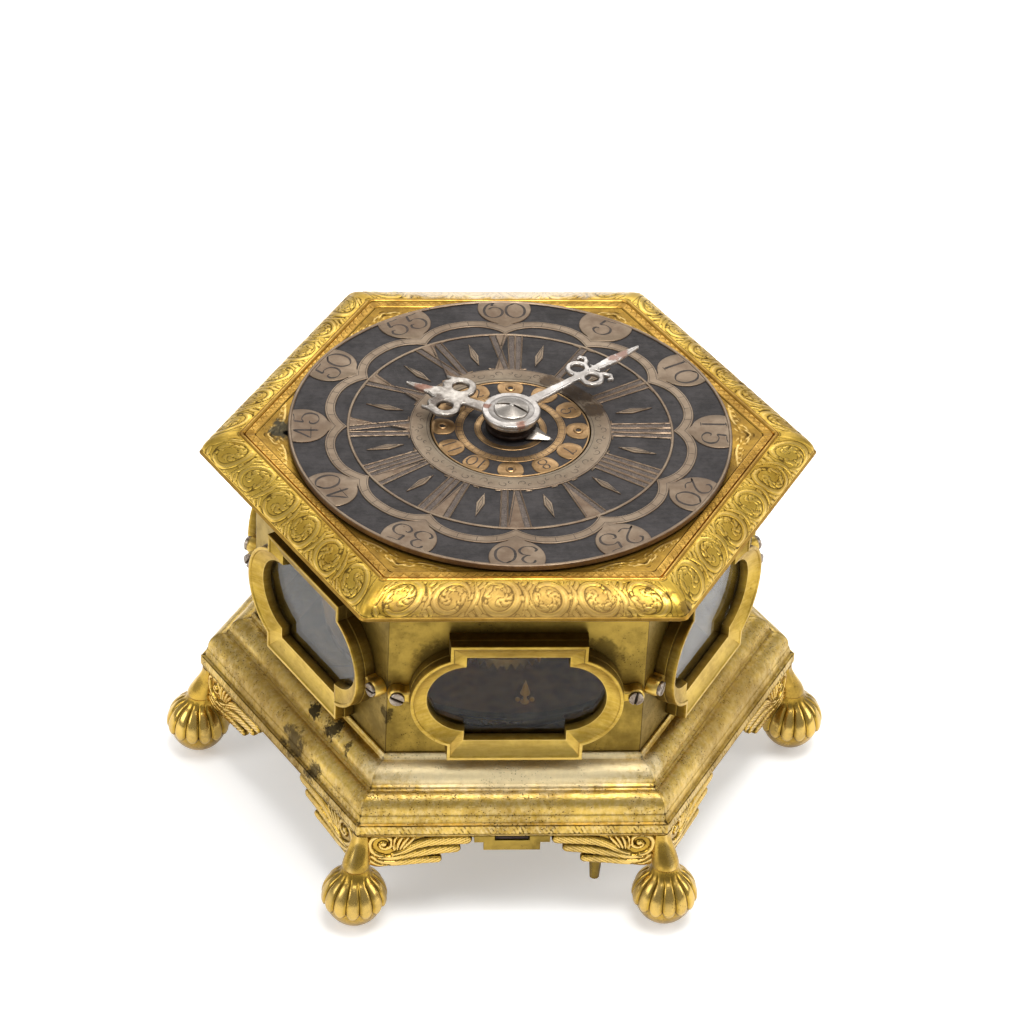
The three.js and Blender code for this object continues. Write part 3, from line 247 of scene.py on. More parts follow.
def blendColour(tree, share, first, second):
    # first where share is 0, second where it is 1
    return addNode(tree, "ShaderNodeMix", dict(data_type="RGBA"), Factor=share, i6=first, i7=second).outputs[2]


def noise(tree, point, scale, detail, rough=0.5):
    # output 0 is the noise's value, output 1 its colour
    return addNode(tree, "ShaderNodeTexNoise", None, Vector=point, Scale=scale, Detail=detail,
                   Roughness=rough).outputs


def objectPoint(tree):
    # the point in the piece's own frame
    return tree.nodes.new("ShaderNodeTexCoord").outputs["Object"]


def buildMottle():
    # cloudy tarnish: two noises of different size, and a fine grain
    group, given, out = newGroup("mottle", ["Cloud", "Grain"], Size=60.0, Grain=900.0)
    point = objectPoint(group)
    big = noise(group, point, given[0], 5.0, 0.62)[0]
    small = noise(group, point, calc(group, "MULTIPLY", given[0], 5.3), 4.0, 0.7)[0]
    mixed = calc(group, "MULTIPLY_ADD", big, 0.62, calc(group, "MULTIPLY", small, 0.38))
    group.links.new(ramp(group, mixed, 0.36, 0.64), out[0])
    group.links.new(noise(group, point, given[1], 3.0, 0.6)[0], out[1])
    return group


def buildPits():
    # small pits: round cells of a Voronoi pattern, kept only where a broad noise is high
    group, given, out = newGroup("pits", ["Mask"], Scale=700.0, Width=0.3, Spread=0.5)
    point = objectPoint(group)
    shifted = vectorCalc(group, "MULTIPLY_ADD", i0=noise(group, point, 400.0, 2.0)[1], i1=(0.0012,) * 3, i2=point)
    cells = addNode(group, "ShaderNodeTexVoronoi", None, Vector=shifted, Scale=given[0])
    hole = fall(group, cells.outputs["Distance"], calc(group, "MULTIPLY", given[1], 0.45), given[1])
    low = calc(group, "SUBTRACT", 1.0, given[2])
    bounds = calc(group, "SUBTRACT", low, 0.06), calc(group, "ADD", low, 0.06)
    keep = ramp(group, noise(group, point, 95.0, 4.0, 0.65)[0], *bounds)
    group.links.new(calc(group, "MULTIPLY", hole, keep), out[0])
    return group


def buildBrush():
    # brush lines: a noise pressed thin across one direction and drawn long along another
    group, given, out = newGroup("brush", ["Line"], Stretch=(60.0, 60.0, 1500.0))
    drawn = vectorCalc(group, "MULTIPLY", i0=objectPoint(group), i1=given[0])
    group.links.new(noise(group, drawn, 1.0, 4.0, 0.65)[0], out[0])
    return group


def buildSpot():
    # a ragged patch of tint round one place, used for stains and also for painted highlights and painted shade; a
    # squeeze below 1 makes it longer along that axis
    group, given, out = newGroup("spot", ["Mask"], Centre=(0, 0, 0), Radius=0.005, Ragged=0.004, Squeeze=(1, 1, 1))
    place = objectPoint(group)
    away = vectorCalc(group, "SUBTRACT", i0=place, i1=given[0])
    far = vectorCalc(group, "LENGTH", i0=vectorCalc(group, "MULTIPLY", i0=away, i1=given[3]))
    uneven = calc(group, "SUBTRACT", noise(group, place, 420.0, 5.0, 0.7)[0], 0.5)
    edge = calc(group, "MULTIPLY_ADD", uneven, calc(group, "MULTIPLY", given[2], 4.0), far)
    group.links.new(fall(group, edge, calc(group, "MULTIPLY", given[1], 0.55), given[1]), out[0])
    return group


def buildSeam():
    # a thin line down each corner of the hexagonal case, where its sides meet
    group, given, out = newGroup("seam", ["Mask"], Width=0.00012)
    place = objectPoint(group)
    axes = addNode(group, "ShaderNodeSeparateXYZ", None, i0=place).outputs
    off = calc(group, "PINGPONG", calc(group, "ARCTAN2", axes[1], axes[0]), math.pi / 6)
    distance = calc(group, "MULTIPLY", off, vectorCalc(group, "LENGTH", i0=place))
    group.links.new(fall(group, distance, calc(group, "MULTIPLY", given[0], 0.4), given[0]), out[0])
    return group


groups = dict(mottle=buildMottle(), pits=buildPits(), brush=buildBrush(), spot=buildSpot(), seam=buildSeam())


def useGroup(tree, key, **values):
    # a node of one of these groups, with plain values
    node = tree.nodes.new("ShaderNodeGroup")
    node.node_tree = groups[key]
    for label, value in values.items():
        node.inputs[label].default_value = value
    return node


plainMetal = dict(
    cloudSize=60.0, cloudShare=1.0, grainSize=900.0, grainHeight=0.25, roughSpread=0.15, roughest=0.95, metal=1.0,
    bump=0.5, bumpDistance=0.08, brush=None, brushBand=(0.35, 0.75), brushShare=0.35, brushHeight=0.5, relief=False,
    crownBand=(0.55, 0.95), crownShare=0.6, crownSmooth=0.06, deepBand=(0.05, 0.45), dirtAndShadeShare=0.85, dirtAndShadeRough=0.25,
    pits=None, pitBand=(0.2, 0.6), pitShare=0.8, pitRough=0.3, pitHeight=1.0, seam=None, seamShare=0.8, spots=(),
    spotRough=0.3,
)


def metalFinish(name, look):
    # colours go from base to dull by cloud, to bright on crowns; a dark tint lies where the "relief" attribute is
    # low: dirt in engraved lines, and painted shade on the bezels' outer walls
    look = {**plainMetal, **look}
    material, tree, shader = newMaterial(name, Metallic=look["metal"])
    base, dull, bright, dirt = [linear(*tone) for tone in pick(look, "base dull bright dirt")]
    mottle = useGroup(tree, "mottle", Size=look["cloudSize"], Grain=look["grainSize"])
    cloud = mottle.outputs["Cloud"]
    colour = blendColour(tree, calc(tree, "MULTIPLY", cloud, look["cloudShare"], clamp=True), base, dull)
    rough = calc(tree, "MULTIPLY_ADD", cloud, look["roughSpread"], look["rough"])
    height = calc(tree, "MULTIPLY", mottle.outputs["Grain"], look["grainHeight"])

    def layer(mask, share, tint, rougher=0.0, deeper=0.0):
        # a tint over the colour where mask is high, with what it adds to the roughness and takes from the height
        nonlocal colour, rough, height
        colour = blendColour(tree, calc(tree, "MULTIPLY", mask, share), colour, tint)
        rough = calc(tree, "MULTIPLY_ADD", mask, rougher, rough) if rougher else rough
        height = calc(tree, "MULTIPLY_ADD", mask, -deeper, height) if deeper else height

    if look["brush"]:
        line = useGroup(tree, "brush", Stretch=look["brush"]).outputs[0]
        layer(ramp(tree, line, *look["brushBand"]), look["brushShare"], bright)
        height = calc(tree, "MULTIPLY_ADD", line, look["brushHeight"], height)
    if look["relief"]:
        relief = addNode(tree, "ShaderNodeAttribute", dict(attribute_name="relief")).outputs["Fac"]
        layer(ramp(tree, relief, *look["crownBand"]), look["crownShare"], bright, -look["crownSmooth"])
        # low relief: dirt in cut lines, and painted shade where rows are set low to stand for shade
        layer(fall(tree, relief, *look["deepBand"]), look["dirtAndShadeShare"], dirt, look["dirtAndShadeRough"])
    if look["pits"]:
        scale, width, spread = look["pits"]
        pits = useGroup(tree, "pits", Scale=scale, Width=width, Spread=spread).outputs[0]
        hole = calc(tree, "MULTIPLY", pits, ramp(tree, cloud, *look["pitBand"]))
        layer(hole, look["pitShare"], dirt, look["pitRough"], look["pitHeight"])
    if look["seam"]:
        layer(useGroup(tree, "seam", Width=look["seam"]).outputs[0], look["seamShare"], dirt, 0.0, 1.0)
    for centre, radius, ragged, tint, strength, *squeeze in look["spots"]:
        spot = useGroup(tree, "spot", Centre=[c * mm for c in centre], Radius=radius * mm, Ragged=ragged * mm,
                        Squeeze=squeeze[0] if squeeze else (1, 1, 1))
        layer(spot.outputs[0], strength, linear(*tint), look["spotRough"] * strength)
    tree.links.new(colour, shader.inputs["Base Color"])
    tree.links.new(calc(tree, "MINIMUM", rough, look["roughest"]), shader.inputs["Roughness"])
    bump = addNode(tree, "ShaderNodeBump", None, Height=height, Strength=look["bump"],
                   Distance=look["bumpDistance"] * mm)
    tree.links.new(bump.outputs[0], shader.inputs["Normal"])
    return material


def linear(r, g, b):
    # a screen colour, 0 to 255, as the linear value a shader takes
    values = [c / 255 for c in (r, g, b)]
    return tuple(c / 12.92 if c <= 0.04045 else ((c + 0.055) / 1.055) ** 2.4 for c in values) + (1.0,)


gilt = dict(
    base=(204, 160, 72), dull=(146, 108, 40), bright=(240, 208, 132), dirt=(50, 34, 14),
    rough=0.3, roughSpread=0.16, grainHeight=0.3, cloudSize=55.0, grainSize=1100.0,
)
looks = dict(
    giltFrame=dict(
        gilt, relief=True, pits=(1700.0, 0.22, 0.42), pitHeight=0.6,
    ),
    giltOvolo=dict(
        gilt, relief=True, base=(230, 192, 84), dull=(168, 132, 46), pits=(1700.0, 0.22, 0.42), pitHeight=0.6,
        grainSize=1500.0, grainHeight=0.8,
        # front face: a duller, less yellow painted tint over its highlight
        spots=[((0.0, -62.0, 95.4), 6.5, 1.5, (172, 142, 86), 0.7, (0.17, 1, 1)),
               # back face: a near-white painted highlight, the glare there
               ((0.0, 62.0, 96.0), 7.0, 1.5, (250, 240, 224), 0.7, (0.17, 1, 1)),
               ((37.5, -62.5, 95.0), 2.6, 1.8, (52, 38, 32), 0.6),
               ((33.5, -61.0, 97.0), 1.7, 1.6, (52, 38, 32), 0.55),
               ((29.0, -59.5, 97.6), 1.3, 1.5, (60, 44, 36), 0.5),
               ((24.5, -63.8, 94.0), 1.0, 1.4, (60, 44, 36), 0.45)],
    ),
    giltPlate=dict(
        gilt, relief=True, base=(190, 148, 56), dull=(138, 106, 44), pits=(1700.0, 0.24, 0.45),
        spots=[((-54.5, 2.0, 98.0), 4.6, 2.2, (62, 66, 62), 0.85), ((-53.6, 0.5, 98.0), 1.3, 0.7, (8, 8, 8), 1.0)],
    ),
    giltWalls=dict(
        gilt, base=(158, 132, 60), dull=(112, 92, 40), cloudSize=42.0, pits=(1500.0, 0.26, 0.5),
        pitShare=0.75, seam=0.00022, rough=0.36, bump=0.7,
        # the first two patches hug the bezel's round ends: painted shade there, with some patina
        spots=[((-18.9, -52.8, 72.0), 6.0, 2.6, (66, 54, 26), 0.6),
               ((19.4, -52.8, 73.0), 6.0, 2.6, (66, 54, 26), 0.6),
               ((-31.0, -52.8, 54.4), 2.6, 1.8, (50, 42, 26), 0.7),
               ((-30.6, -52.8, 64.0), 1.5, 1.6, (50, 42, 26), 0.5)],
    ),
    giltBase=dict(
        gilt, relief=True, base=(206, 172, 82), dull=(152, 122, 50), bright=(252, 236, 188), pits=(1500.0, 0.3, 0.56),
        pitHeight=1.3, bump=1.0, grainSize=1900.0, grainHeight=1.1, brush=(900.0, 900.0, 500.0), brushShare=0.25,
        brushHeight=0.3,
        # a near-white painted highlight stretched along the front torus
        spots=[((0.0, -55.6, 40.8), 7.6, 1.6, (252, 240, 204), 0.6, (0.17, 1, 1)),
               # painted shade over the front-right and front-left sides of the base, darker on the left
               ((60.0, -30.0, 33.0), 24.0, 5.0, (140, 112, 52), 0.4),
               ((-60.0, -30.0, 33.0), 24.0, 5.0, (116, 90, 40), 0.5),
               ((-52.0, -36.0, 32.0), 5.0, 3.0, (38, 34, 32), 0.7),
               ((-46.0, -33.5, 39.5), 2.6, 2.4, (28, 24, 20), 0.9),
               ((-42.2, -40.0, 39.5), 3.0, 2.6, (28, 24, 20), 0.9),
               ((-38.3, -46.8, 38.5), 2.0, 2.2, (28, 24, 20), 0.8),
               ((-46.0, -44.0, 30.0), 4.0, 2.6, (38, 34, 32), 0.75)],
    ),
    giltFeet=dict(
        gilt, relief=True, base=(188, 152, 62), dull=(122, 96, 36), rough=0.21, pits=(1500.0, 0.24, 0.42),
    ),
    giltSatin=dict(
        gilt, base=(190, 158, 66), dull=(152, 122, 44), bright=(222, 192, 112), rough=0.34,
        brush=(240.0, 240.0, 1600.0), brushShare=0.3, brushHeight=0.4, cloudSize=75.0, pits=(700.0, 0.2, 0.36),
        relief=True,
    ),
    movement=dict(gilt, base=(176, 140, 70), dull=(120, 92, 44), rough=0.3),
    # a painted glint: bright and partly diffuse so the finial behind the glass reads lit
    glint=dict(gilt, base=(255, 214, 120), dull=(255, 196, 96), rough=0.3, metal=0.35),
    # brighter gilt for the crown and contrate wheels: a painted glint so they read lit behind the glass
    wheels=dict(gilt, base=(240, 204, 124), dull=(206, 166, 88), rough=0.26),
    bell=dict(gilt, relief=True, base=(190, 160, 96), dull=(140, 112, 60), rough=0.24, brush=(40.0, 40.0, 900.0),
              brushShare=0.2),
    silver=dict(
        base=(134, 116, 97), dull=(110, 90, 74), bright=(162, 146, 124), dirt=(44, 36, 30),
        rough=0.4, roughSpread=0.12, relief=True, cloudSize=85.0, grainHeight=0.3, pits=(900.0, 0.2, 0.4),
        spots=[((0.0, 0.0, 99.9), 25.2, 0.4, (128, 128, 112), 0.5), ((17.2, 14.4, 99.9), 5.6, 1.6, (52, 40, 32), 0.8),
               ((20.6, 7.6, 99.9), 3.6, 1.6, (60, 46, 36), 0.75), ((10.4, 19.4, 99.9), 3.0, 1.4, (70, 54, 42), 0.6)],
    ),
    ground=dict(
        base=(60, 56, 56), dull=(42, 39, 39), bright=(104, 96, 88), dirt=(24, 22, 22),
        rough=0.55, roughSpread=0.1, metal=0.55, cloudSize=110.0, grainSize=1900.0, grainHeight=1.0, bump=0.8,
        brush=(90.0, 1100.0, 90.0), brushShare=0.12, brushHeight=0.4,
    ),
    copper=dict(
        base=(162, 128, 88), dull=(124, 94, 62), bright=(196, 164, 118), dirt=(50, 36, 26),
        rough=0.34, relief=True, cloudSize=140.0, grainHeight=0.3, pits=(1000.0, 0.2, 0.38),
    ),
    ink=dict(
        base=(62, 50, 42), dull=(40, 34, 30), bright=(70, 60, 54), dirt=(20, 18, 18),
        rough=0.6, metal=0.1, cloudSize=300.0,
    ),
    hatch=dict(
        base=(92, 82, 76), dull=(66, 60, 58), bright=(150, 132, 116), dirt=(34, 30, 30),
        rough=0.5, metal=0.6, cloudSize=500.0, grainSize=2600.0, grainHeight=1.4, bump=0.9,
        brush=(2600.0, 2600.0, 100.0), brushShare=0.5, brushHeight=0.8,
    ),
    steel=dict(
        base=(190, 184, 178), dull=(146, 138, 130), bright=(216, 212, 206), dirt=(56, 44, 36),
        rough=0.26, relief=True, cloudSize=120.0, cloudShare=0.7, grainHeight=0.1, pits=(900.0, 0.16, 0.3),
        pitShare=0.5, bump=0.2,
    ),
    steelWorn=dict(
        base=(190, 182, 172), dull=(134, 126, 118), bright=(212, 206, 198), dirt=(50, 42, 36),
        rough=0.27, relief=True, cloudSize=190.0, grainHeight=0.15, pits=(1000.0, 0.2, 0.4), pitShare=0.6, bump=0.25,
    ),
    screwSteel=dict(
        base=(150, 138, 124), dull=(96, 80, 66), bright=(206, 196, 182), dirt=(30, 24, 20),
        rough=0.32, relief=True, cloudSize=260.0, grainHeight=0.4, pits=(1100.0, 0.25, 0.5),
    ),
    darkSteel=dict(
        base=(62, 52, 46), dull=(40, 33, 30), bright=(120, 106, 94), dirt=(22, 18, 16),
        rough=0.38, cloudSize=160.0, grainHeight=0.4,
    ),
)
rust = (140, 84, 58)
spotAt = lambda reach, degrees, z: (*polar(reach, math.radians(degrees)), z)
looks["steel"]["spots"] = looks["steelWorn"]["spots"] = [
    (spotAt(36.6, 39.2, 105.4), 2.0, 1.6, rust, 0.6),
    (spotAt(33.6, 39.2, 105.4), 1.6, 1.0, rust, 0.6),
    (spotAt(23.4, 151.5, 104.1), 2.2, 1.5, rust, 0.7),
    (spotAt(6.4, -70.0, 105.4), 1.8, 1.2, rust, 0.7),
    (spotAt(6.2, 165.0, 105.4), 1.2, 0.8, rust, 0.7),
    (spotAt(18.0, 162.0, 104.1), 2.6, 1.6, (78, 62, 52), 0.5),
]
finishes = {key: metalFinish(key, look) for key, look in looks.items()}


glass = dict(ior=1.26, rough=0.04, cloudSize=40.0, grainSize=60.0, base=(230, 226, 218), dull=(212, 208, 200))


def glassFinish(look):
    # old glass: clear, a little grey, with a faint cloud in its tint
    material, tree, shader = newMaterial("oldGlass", Transmission_Weight=1.0, IOR=look["ior"],
                                         Roughness=look["rough"])
    cloud = useGroup(tree, "mottle", Size=look["cloudSize"], Grain=look["grainSize"]).outputs["Cloud"]
    tint = blendColour(tree, cloud, linear(*look["base"]), linear(*look["dull"]))
    tree.links.new(tint, shader.inputs["Base Color"])
    return material


finishes["glass"] = glassFinish(glass)
print("finishes ready:", len(finishes))

# surfaces from arrays


def gridQuads(rows, cols, loop=False):
    # quads between neighbouring rows and columns; loop joins the last column to the first
    r = np.arange(rows - 1)[:, None]
    c = np.arange(cols if loop else cols - 1)[None, :]
    a = r * cols + c
    b = r * cols + (c + 1) % cols
    return np.stack([a, b, b + cols, a + cols], -1).reshape(-1, 4)


def skin(points, quads=None, tris=None, relief=None):
    # a surface in mm; relief runs from 0 for deep to 1 for crown
    points = np.asarray(points, float).reshape(-1, 3)
    return dict(
        points=points,
        quads=np.zeros((0, 4), int) if quads is None else np.asarray(quads, int),
        tris=np.zeros((0, 3), int) if tris is None else np.asarray(tris, int),
        relief=np.full(len(points), 0.5) if relief is None else np.asarray(relief, float).ravel(),
    )


def gridSkin(points, loop=False, relief=None, flip=False):
    # points is (rows, cols, 3)
    rows, cols = points.shape[:2]
    quads = gridQuads(rows, cols, loop)
    return skin(points, quads[:, ::-1] if flip else quads, None, relief)


def moved(one, matrix=None, offset=(0, 0, 0)):
    # a skin turned by a matrix and then shifted
    points = one["points"] if matrix is None else one["points"] @ np.asarray(matrix, float).T
    return dict(one, points=points + np.asarray(offset, float))


def turnedBy(one, degrees):
    # a skin turned round the Z axis
    c, s = wayOf(degrees)
    return moved(one, [[c, -s, 0], [s, c, 0], [0, 0, 1]])


def onSide(one, degrees):
    # local x to the right along a side, y up, z outwards
    c, s = wayOf(degrees)
    return moved(one, [[-s, 0, c], [c, 0, s], [0, 1, 0]])


def welded(one):
    # vertices in one place become one, and a quad with two of its corners there becomes a triangle
    _, firstAt, back = np.unique(np.round(one["points"] * 1e4).astype(np.int64), axis=0, return_index=True,
                                 return_inverse=True)
    back = back.ravel()
    quads, tris = back[one["quads"]].reshape(-1, 4), back[one["tris"]].reshape(-1, 3)
    same = quads == np.roll(quads, -1, axis=1)
    three = quads[same.sum(1) == 1]
    tris = np.concatenate([tris, three[~same[same.sum(1) == 1]].reshape(-1, 3)])
    tris = tris[(tris != np.roll(tris, -1, axis=1)).all(1)]
    return dict(points=one["points"][firstAt], quads=quads[same.sum(1) == 0], tris=tris,
                relief=one["relief"][firstAt])


def addPiece(name, skins, finish, body, stands=(), sharp=35.0):
    # joins the skins into one mesh, in metres, and hangs it on its body
    skins = [welded(one) for one in skins]
    sizes = [len(s["points"]) for s in skins]
    starts = np.concatenate([[0], np.cumsum(sizes)[:-1]])
    points = np.concatenate([s["points"] for s in skins]) * mm
    quads = np.concatenate([s["quads"] + k for s, k in zip(skins, starts)])
    tris = np.concatenate([s["tris"] + k for s, k in zip(skins, starts)])
    relief = np.concatenate([s["relief"] for s in skins])
    corners = np.concatenate([quads.ravel(), tris.ravel()]).astype(np.int32)
    counts = np.concatenate([np.full(len(quads), 4), np.full(len(tris), 3)])
    first = np.concatenate([[0], np.cumsum(counts)[:-1]]).astype(np.int32)
    mesh = bpy.data.meshes.new(name)
    mesh.vertices.add(len(points))
    mesh.vertices.foreach_set("co", points.astype(np.float32).ravel())
    mesh.loops.add(len(corners))
    mesh.loops.foreach_set("vertex_index", corners)
    mesh.polygons.add(len(counts))
    mesh.polygons.foreach_set("loop_start", first)
    mesh.update(calc_edges=True)
    mesh.validate()
    layer = mesh.attributes.new("relief", "FLOAT", "POINT")
    layer.data.foreach_set("value", relief.astype(np.float32))
    mesh.polygons.foreach_set("use_smooth", np.ones(len(mesh.polygons), bool))
    mesh.set_sharp_from_angle(angle=math.radians(sharp))
    mesh.materials.append(finishes[finish])
    piece = bpy.data.objects.new(name, mesh)
    bpy.context.scene.collection.objects.link(piece)
    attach(piece, body)
    if stands:
        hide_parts(*stands)
    print("piece", name, len(mesh.polygons), "faces")
    return piece


def lathe(profile, turns, relief=None, flip=False):
    # each row is a profile point [radius, height] carried round the Z axis
    r, z = np.asarray(profile, float).T[:, :, None]
    turn = fullTurn(turns)
    value = None if relief is None else np.repeat(np.asarray(relief, float)[:, None], turns, 1)
    return gridSkin(np.stack([*polar(r, turn), z + 0 * turn], -1), True, value, flip)


def strokeParts(x, y, samples, atOnce=3000):
    # part by part: a slice of the points, and their distance over radius to each sample (x, y, radius)
    x, y = np.ravel(x)[:, None], np.ravel(y)[:, None]
    for k in range(0, len(x), atOnce):
        part = slice(k, k + atOnce)
        yield part, np.hypot(x[part] - samples[:, 0], y[part] - samples[:, 1]) / samples[:, 2]


def strokeField(x, y, samples):
    # for each point the least of distance / radius over the samples, and which sample that is
    best, which = np.empty(np.size(x)), np.empty(np.size(x), int)
    for part, d in strokeParts(x, y, samples):
        best[part], which[part] = d.min(1), d.argmin(1)
    return best.reshape(np.shape(x)), which.reshape(np.shape(x))


def smoothLine(points, count):
    # a Catmull-Rom curve through the points, sampled evenly in its parameter
    p = np.asarray(points, float)
    p = np.concatenate([[2 * p[0] - p[1]], p, [2 * p[-1] - p[-2]]])
    t = np.linspace(0, len(p) - 3 - 1e-9, count)
    i = t.astype(int)
    f = (t - i)[:, None]
    a, b, c, d = p[i], p[i + 1], p[i + 2], p[i + 3]
    return 0.5 * (2 * b + (c - a) * f + (2 * a - 5 * b + 4 * c - d) * f ** 2 + (3 * b - a - 3 * c + d) * f ** 3)


def stroke(points, radii, step=0.2):
    # samples (x, y, radius) along a smooth line; radii are spread evenly over it
    p = np.asarray(points, float)
    length = np.hypot(*np.diff(p, axis=0).T).sum()
    line = smoothLine(p, max(6, int(length * 1.15 / step)))
    share = np.linspace(0, 1, len(line))
    radius = np.interp(share, np.linspace(0, 1, len(radii)), radii)
    return np.column_stack([line, radius])


def spiral(cx, cy, outer, inner, start, turns, count=14):
    # radius shrinks evenly with the angle
    q = np.linspace(0, 1, count)
    x, y = polar(outer + (inner - outer) * q, np.radians(start) + 2 * math.pi * turns * q)
    return np.column_stack([cx + x, cy + y])


def raised(q):
    # a rounded ridge where q is below 1, and a narrow groove just outside it
    ridge = np.sqrt(unit(1 - np.minimum(q, 1) ** 2))
    groove = np.exp(-((q - 1.12) / 0.2) ** 2)
    return ridge, groove


def wayAlong(line):
    # a line's unit direction at each of its points, and the unit vector to its left
    way = np.gradient(np.asarray(line, float), axis=0)
    way /= np.maximum(np.hypot(*way.T), 1e-9)[:, None]
    return way, np.column_stack([-way[:, 1], way[:, 0]])


def hexSweep(profile, relief, perSide, corner, arcs, crowd=0.0):
    # a profile [half width across flats, height] carried round a hexagon whose corners are rounded;
    # relief(s, edge, k) gives the height above the profile at s along the side, edge from the mitre;
    # crowd sets columns closer to each other near the corners
    profile = np.asarray(profile, float)
    normal = -wayAlong(profile)[1]
    if normal[len(normal) // 2].sum() < 0:
        normal = -normal
    # w runs from -1 to 1 along a side, and a little beyond 1 round its corner
    beyond = 2e-3
    u = np.linspace(-1, 1, perSide)
    w = np.concatenate([(1 - crowd) * u + crowd * np.sin(u * math.pi / 2),
                        1 + np.arange(1, 2 * arcs) / (2 * arcs) * beyond])
    straight = np.clip(w, -1, 1)
    phi = np.where(w > 1, (w - 1) / beyond, 0) * 60.0
    core = profile[:, 0] - corner
    out = core[:, None] + 0 * w
    along = core[:, None] * tan30 * straight
    rows = np.repeat(np.arange(len(profile))[:, None], len(w), 1)
    height, value = relief(along, core[:, None] * tan30 - np.abs(along), rows)
    grids, values = [], []
    for k in range(6):
        n0 = math.radians(60 * k + 30)
        face = n0 + np.radians(phi)
        nx, ny = np.cos(face), np.sin(face)
        px = out * math.cos(n0) - along * math.sin(n0) + corner * nx
        py = out * math.sin(n0) + along * math.cos(n0) + corner * ny
        px = px + height * normal[:, 0][:, None] * nx
        py = py + height * normal[:, 0][:, None] * ny
        pz = profile[:, 1][:, None] + height * normal[:, 1][:, None] + 0 * w
        grids.append(np.stack([px, py, pz], -1))
        values.append(value)
    return gridSkin(np.concatenate(grids, 1), True, np.concatenate(values, 1))


def cutPlate(distance, box, pitch, low, top, edge=0.0, relief=None):
    # a sheet cut where distance(x, y) is below 0: grid points near the outline slide onto it;
    # the top falls to the rim in a quarter round of radius edge
    x, y = np.meshgrid(np.arange(box[0], box[2] + pitch, pitch), np.arange(box[1], box[3] + pitch, pitch))
    tiny = pitch * 0.02
    near = np.abs(distance(x, y)) <= 0.52 * pitch
    for _ in range(3):
        d = distance(x, y)
        gx = (distance(x + tiny, y) - distance(x - tiny, y)) / (2 * tiny)
        gy = (distance(x, y + tiny) - distance(x, y - tiny)) / (2 * tiny)
        size = np.maximum(gx ** 2 + gy ** 2, 0.2)
        x = np.where(near, x - d * gx / size, x)
        y = np.where(near, y - d * gy / size, y)
    d = np.where(near, 0.0, distance(x, y))
    keep = near | (d < 0)
    rows, cols = x.shape
    index = np.arange(rows * cols).reshape(rows, cols)
    cell = np.stack([index[:-1, :-1], index[:-1, 1:], index[1:, 1:], index[1:, :-1]], -1).reshape(-1, 4)
    kept = keep.ravel()[cell]
    mid = distance(x.ravel()[cell].mean(1), y.ravel()[cell].mean(1)) < 0
    quads = cell[kept.all(1) & (mid | (d.ravel()[cell].min(1) < 0))]
    three = cell[kept.sum(1) == 3]
    keepThree = kept[kept.sum(1) == 3]
    tris = np.concatenate([three[~keepThree[:, k]][:, [(k + 1) % 4, (k + 2) % 4, (k + 3) % 4]] for k in range(4)])
    if len(tris):
        tris = tris[distance(x.ravel()[tris].mean(1), y.ravel()[tris].mean(1)) < 0]
    t = unit(-d / edge) if edge else np.ones_like(d)
    z = top - edge + edge * np.sqrt(unit(1 - (1 - t) ** 2))
    if relief is not None:
        lift, value = relief(x, y)
        z = z + lift * t
    else:
        value = np.where(t < 0.6, 0.8, 0.5)
    used = np.unique(np.concatenate([quads.ravel(), tris.ravel()]))
    new = np.full(rows * cols, -1)
    new[used] = np.arange(len(used))
    quads, tris = new[quads], new[tris]
    px, py, pz = x.ravel()[used], y.ravel()[used], z.ravel()[used]
    sides = [quads[:, [k, (k + 1) % 4]] for k in range(4)] + [tris[:, [k, (k + 1) % 3]] for k in range(3)]
    ends = np.concatenate(sides)
    key = np.sort(ends, 1)
    _, inverse, count = np.unique(key, axis=0, return_inverse=True, return_counts=True)
    rim = ends[count[inverse.ravel()] == 1]
    n = len(used)
    walls = np.column_stack([rim[:, 1], rim[:, 0], rim[:, 0] + n, rim[:, 1] + n])
    points = np.concatenate([np.column_stack([px, py, pz]), level(low, px, py)])
    allQuads = np.concatenate([quads, quads[:, ::-1] + n, walls])
    allTris = np.concatenate([tris, tris[:, ::-1] + n])
    tone = np.concatenate([value.ravel()[used], np.full(n, 0.5)])
    return skin(points, allQuads, allTris, tone)


def segmentDistance(x, y, ax, ay, bx, by, ra, rb):
    # a bar from a to b whose half width runs from ra to rb
    vx, vy = bx - ax, by - ay
    t = unit(((x - ax) * vx + (y - ay) * vy) / (vx * vx + vy * vy))
    return np.hypot(x - ax - t * vx, y - ay - t * vy) - (ra + (rb - ra) * t)


def softMin(a, b, radius):
    # the smaller of two distances, with the inside corner filled to a radius
    h = unit(0.5 + 0.5 * (b - a) / radius)
    return b + (a - b) * h - radius * h * (1 - h)


def ribbon(line, widths, z):
    # a flat strip along a line of points, as wide as widths says
    line = np.asarray(line, float)
    side = wayAlong(line)[1] * (np.asarray(widths, float) / 2 + np.zeros(len(line)))[:, None]
    return gridSkin(np.stack([level(z, line - side), level(z, line + side)]))


def penRibbon(line, thick, thin, z):
    # a pen stroke: broad where the line runs up or down, fine where it runs across
    steep = np.abs(wayAlong(line)[0][:, 1]) ** 1.3
    ends = np.clip(np.minimum(np.arange(len(line)), np.arange(len(line))[::-1]) / 3.0, 0.35, 1)
    return ribbon(line, (thin + (thick - thin) * steep) * ends, z)


print("surface tools ready")

# top frame and base moulding


def quarterRound(a, b, steps):
    # a quarter of an ellipse from a to b that leaves a upright
    t = np.linspace(0, math.pi / 2, steps)
    return np.column_stack([b[0] + (a[0] - b[0]) * np.cos(t), a[1] + (b[1] - a[1]) * np.sin(t)])


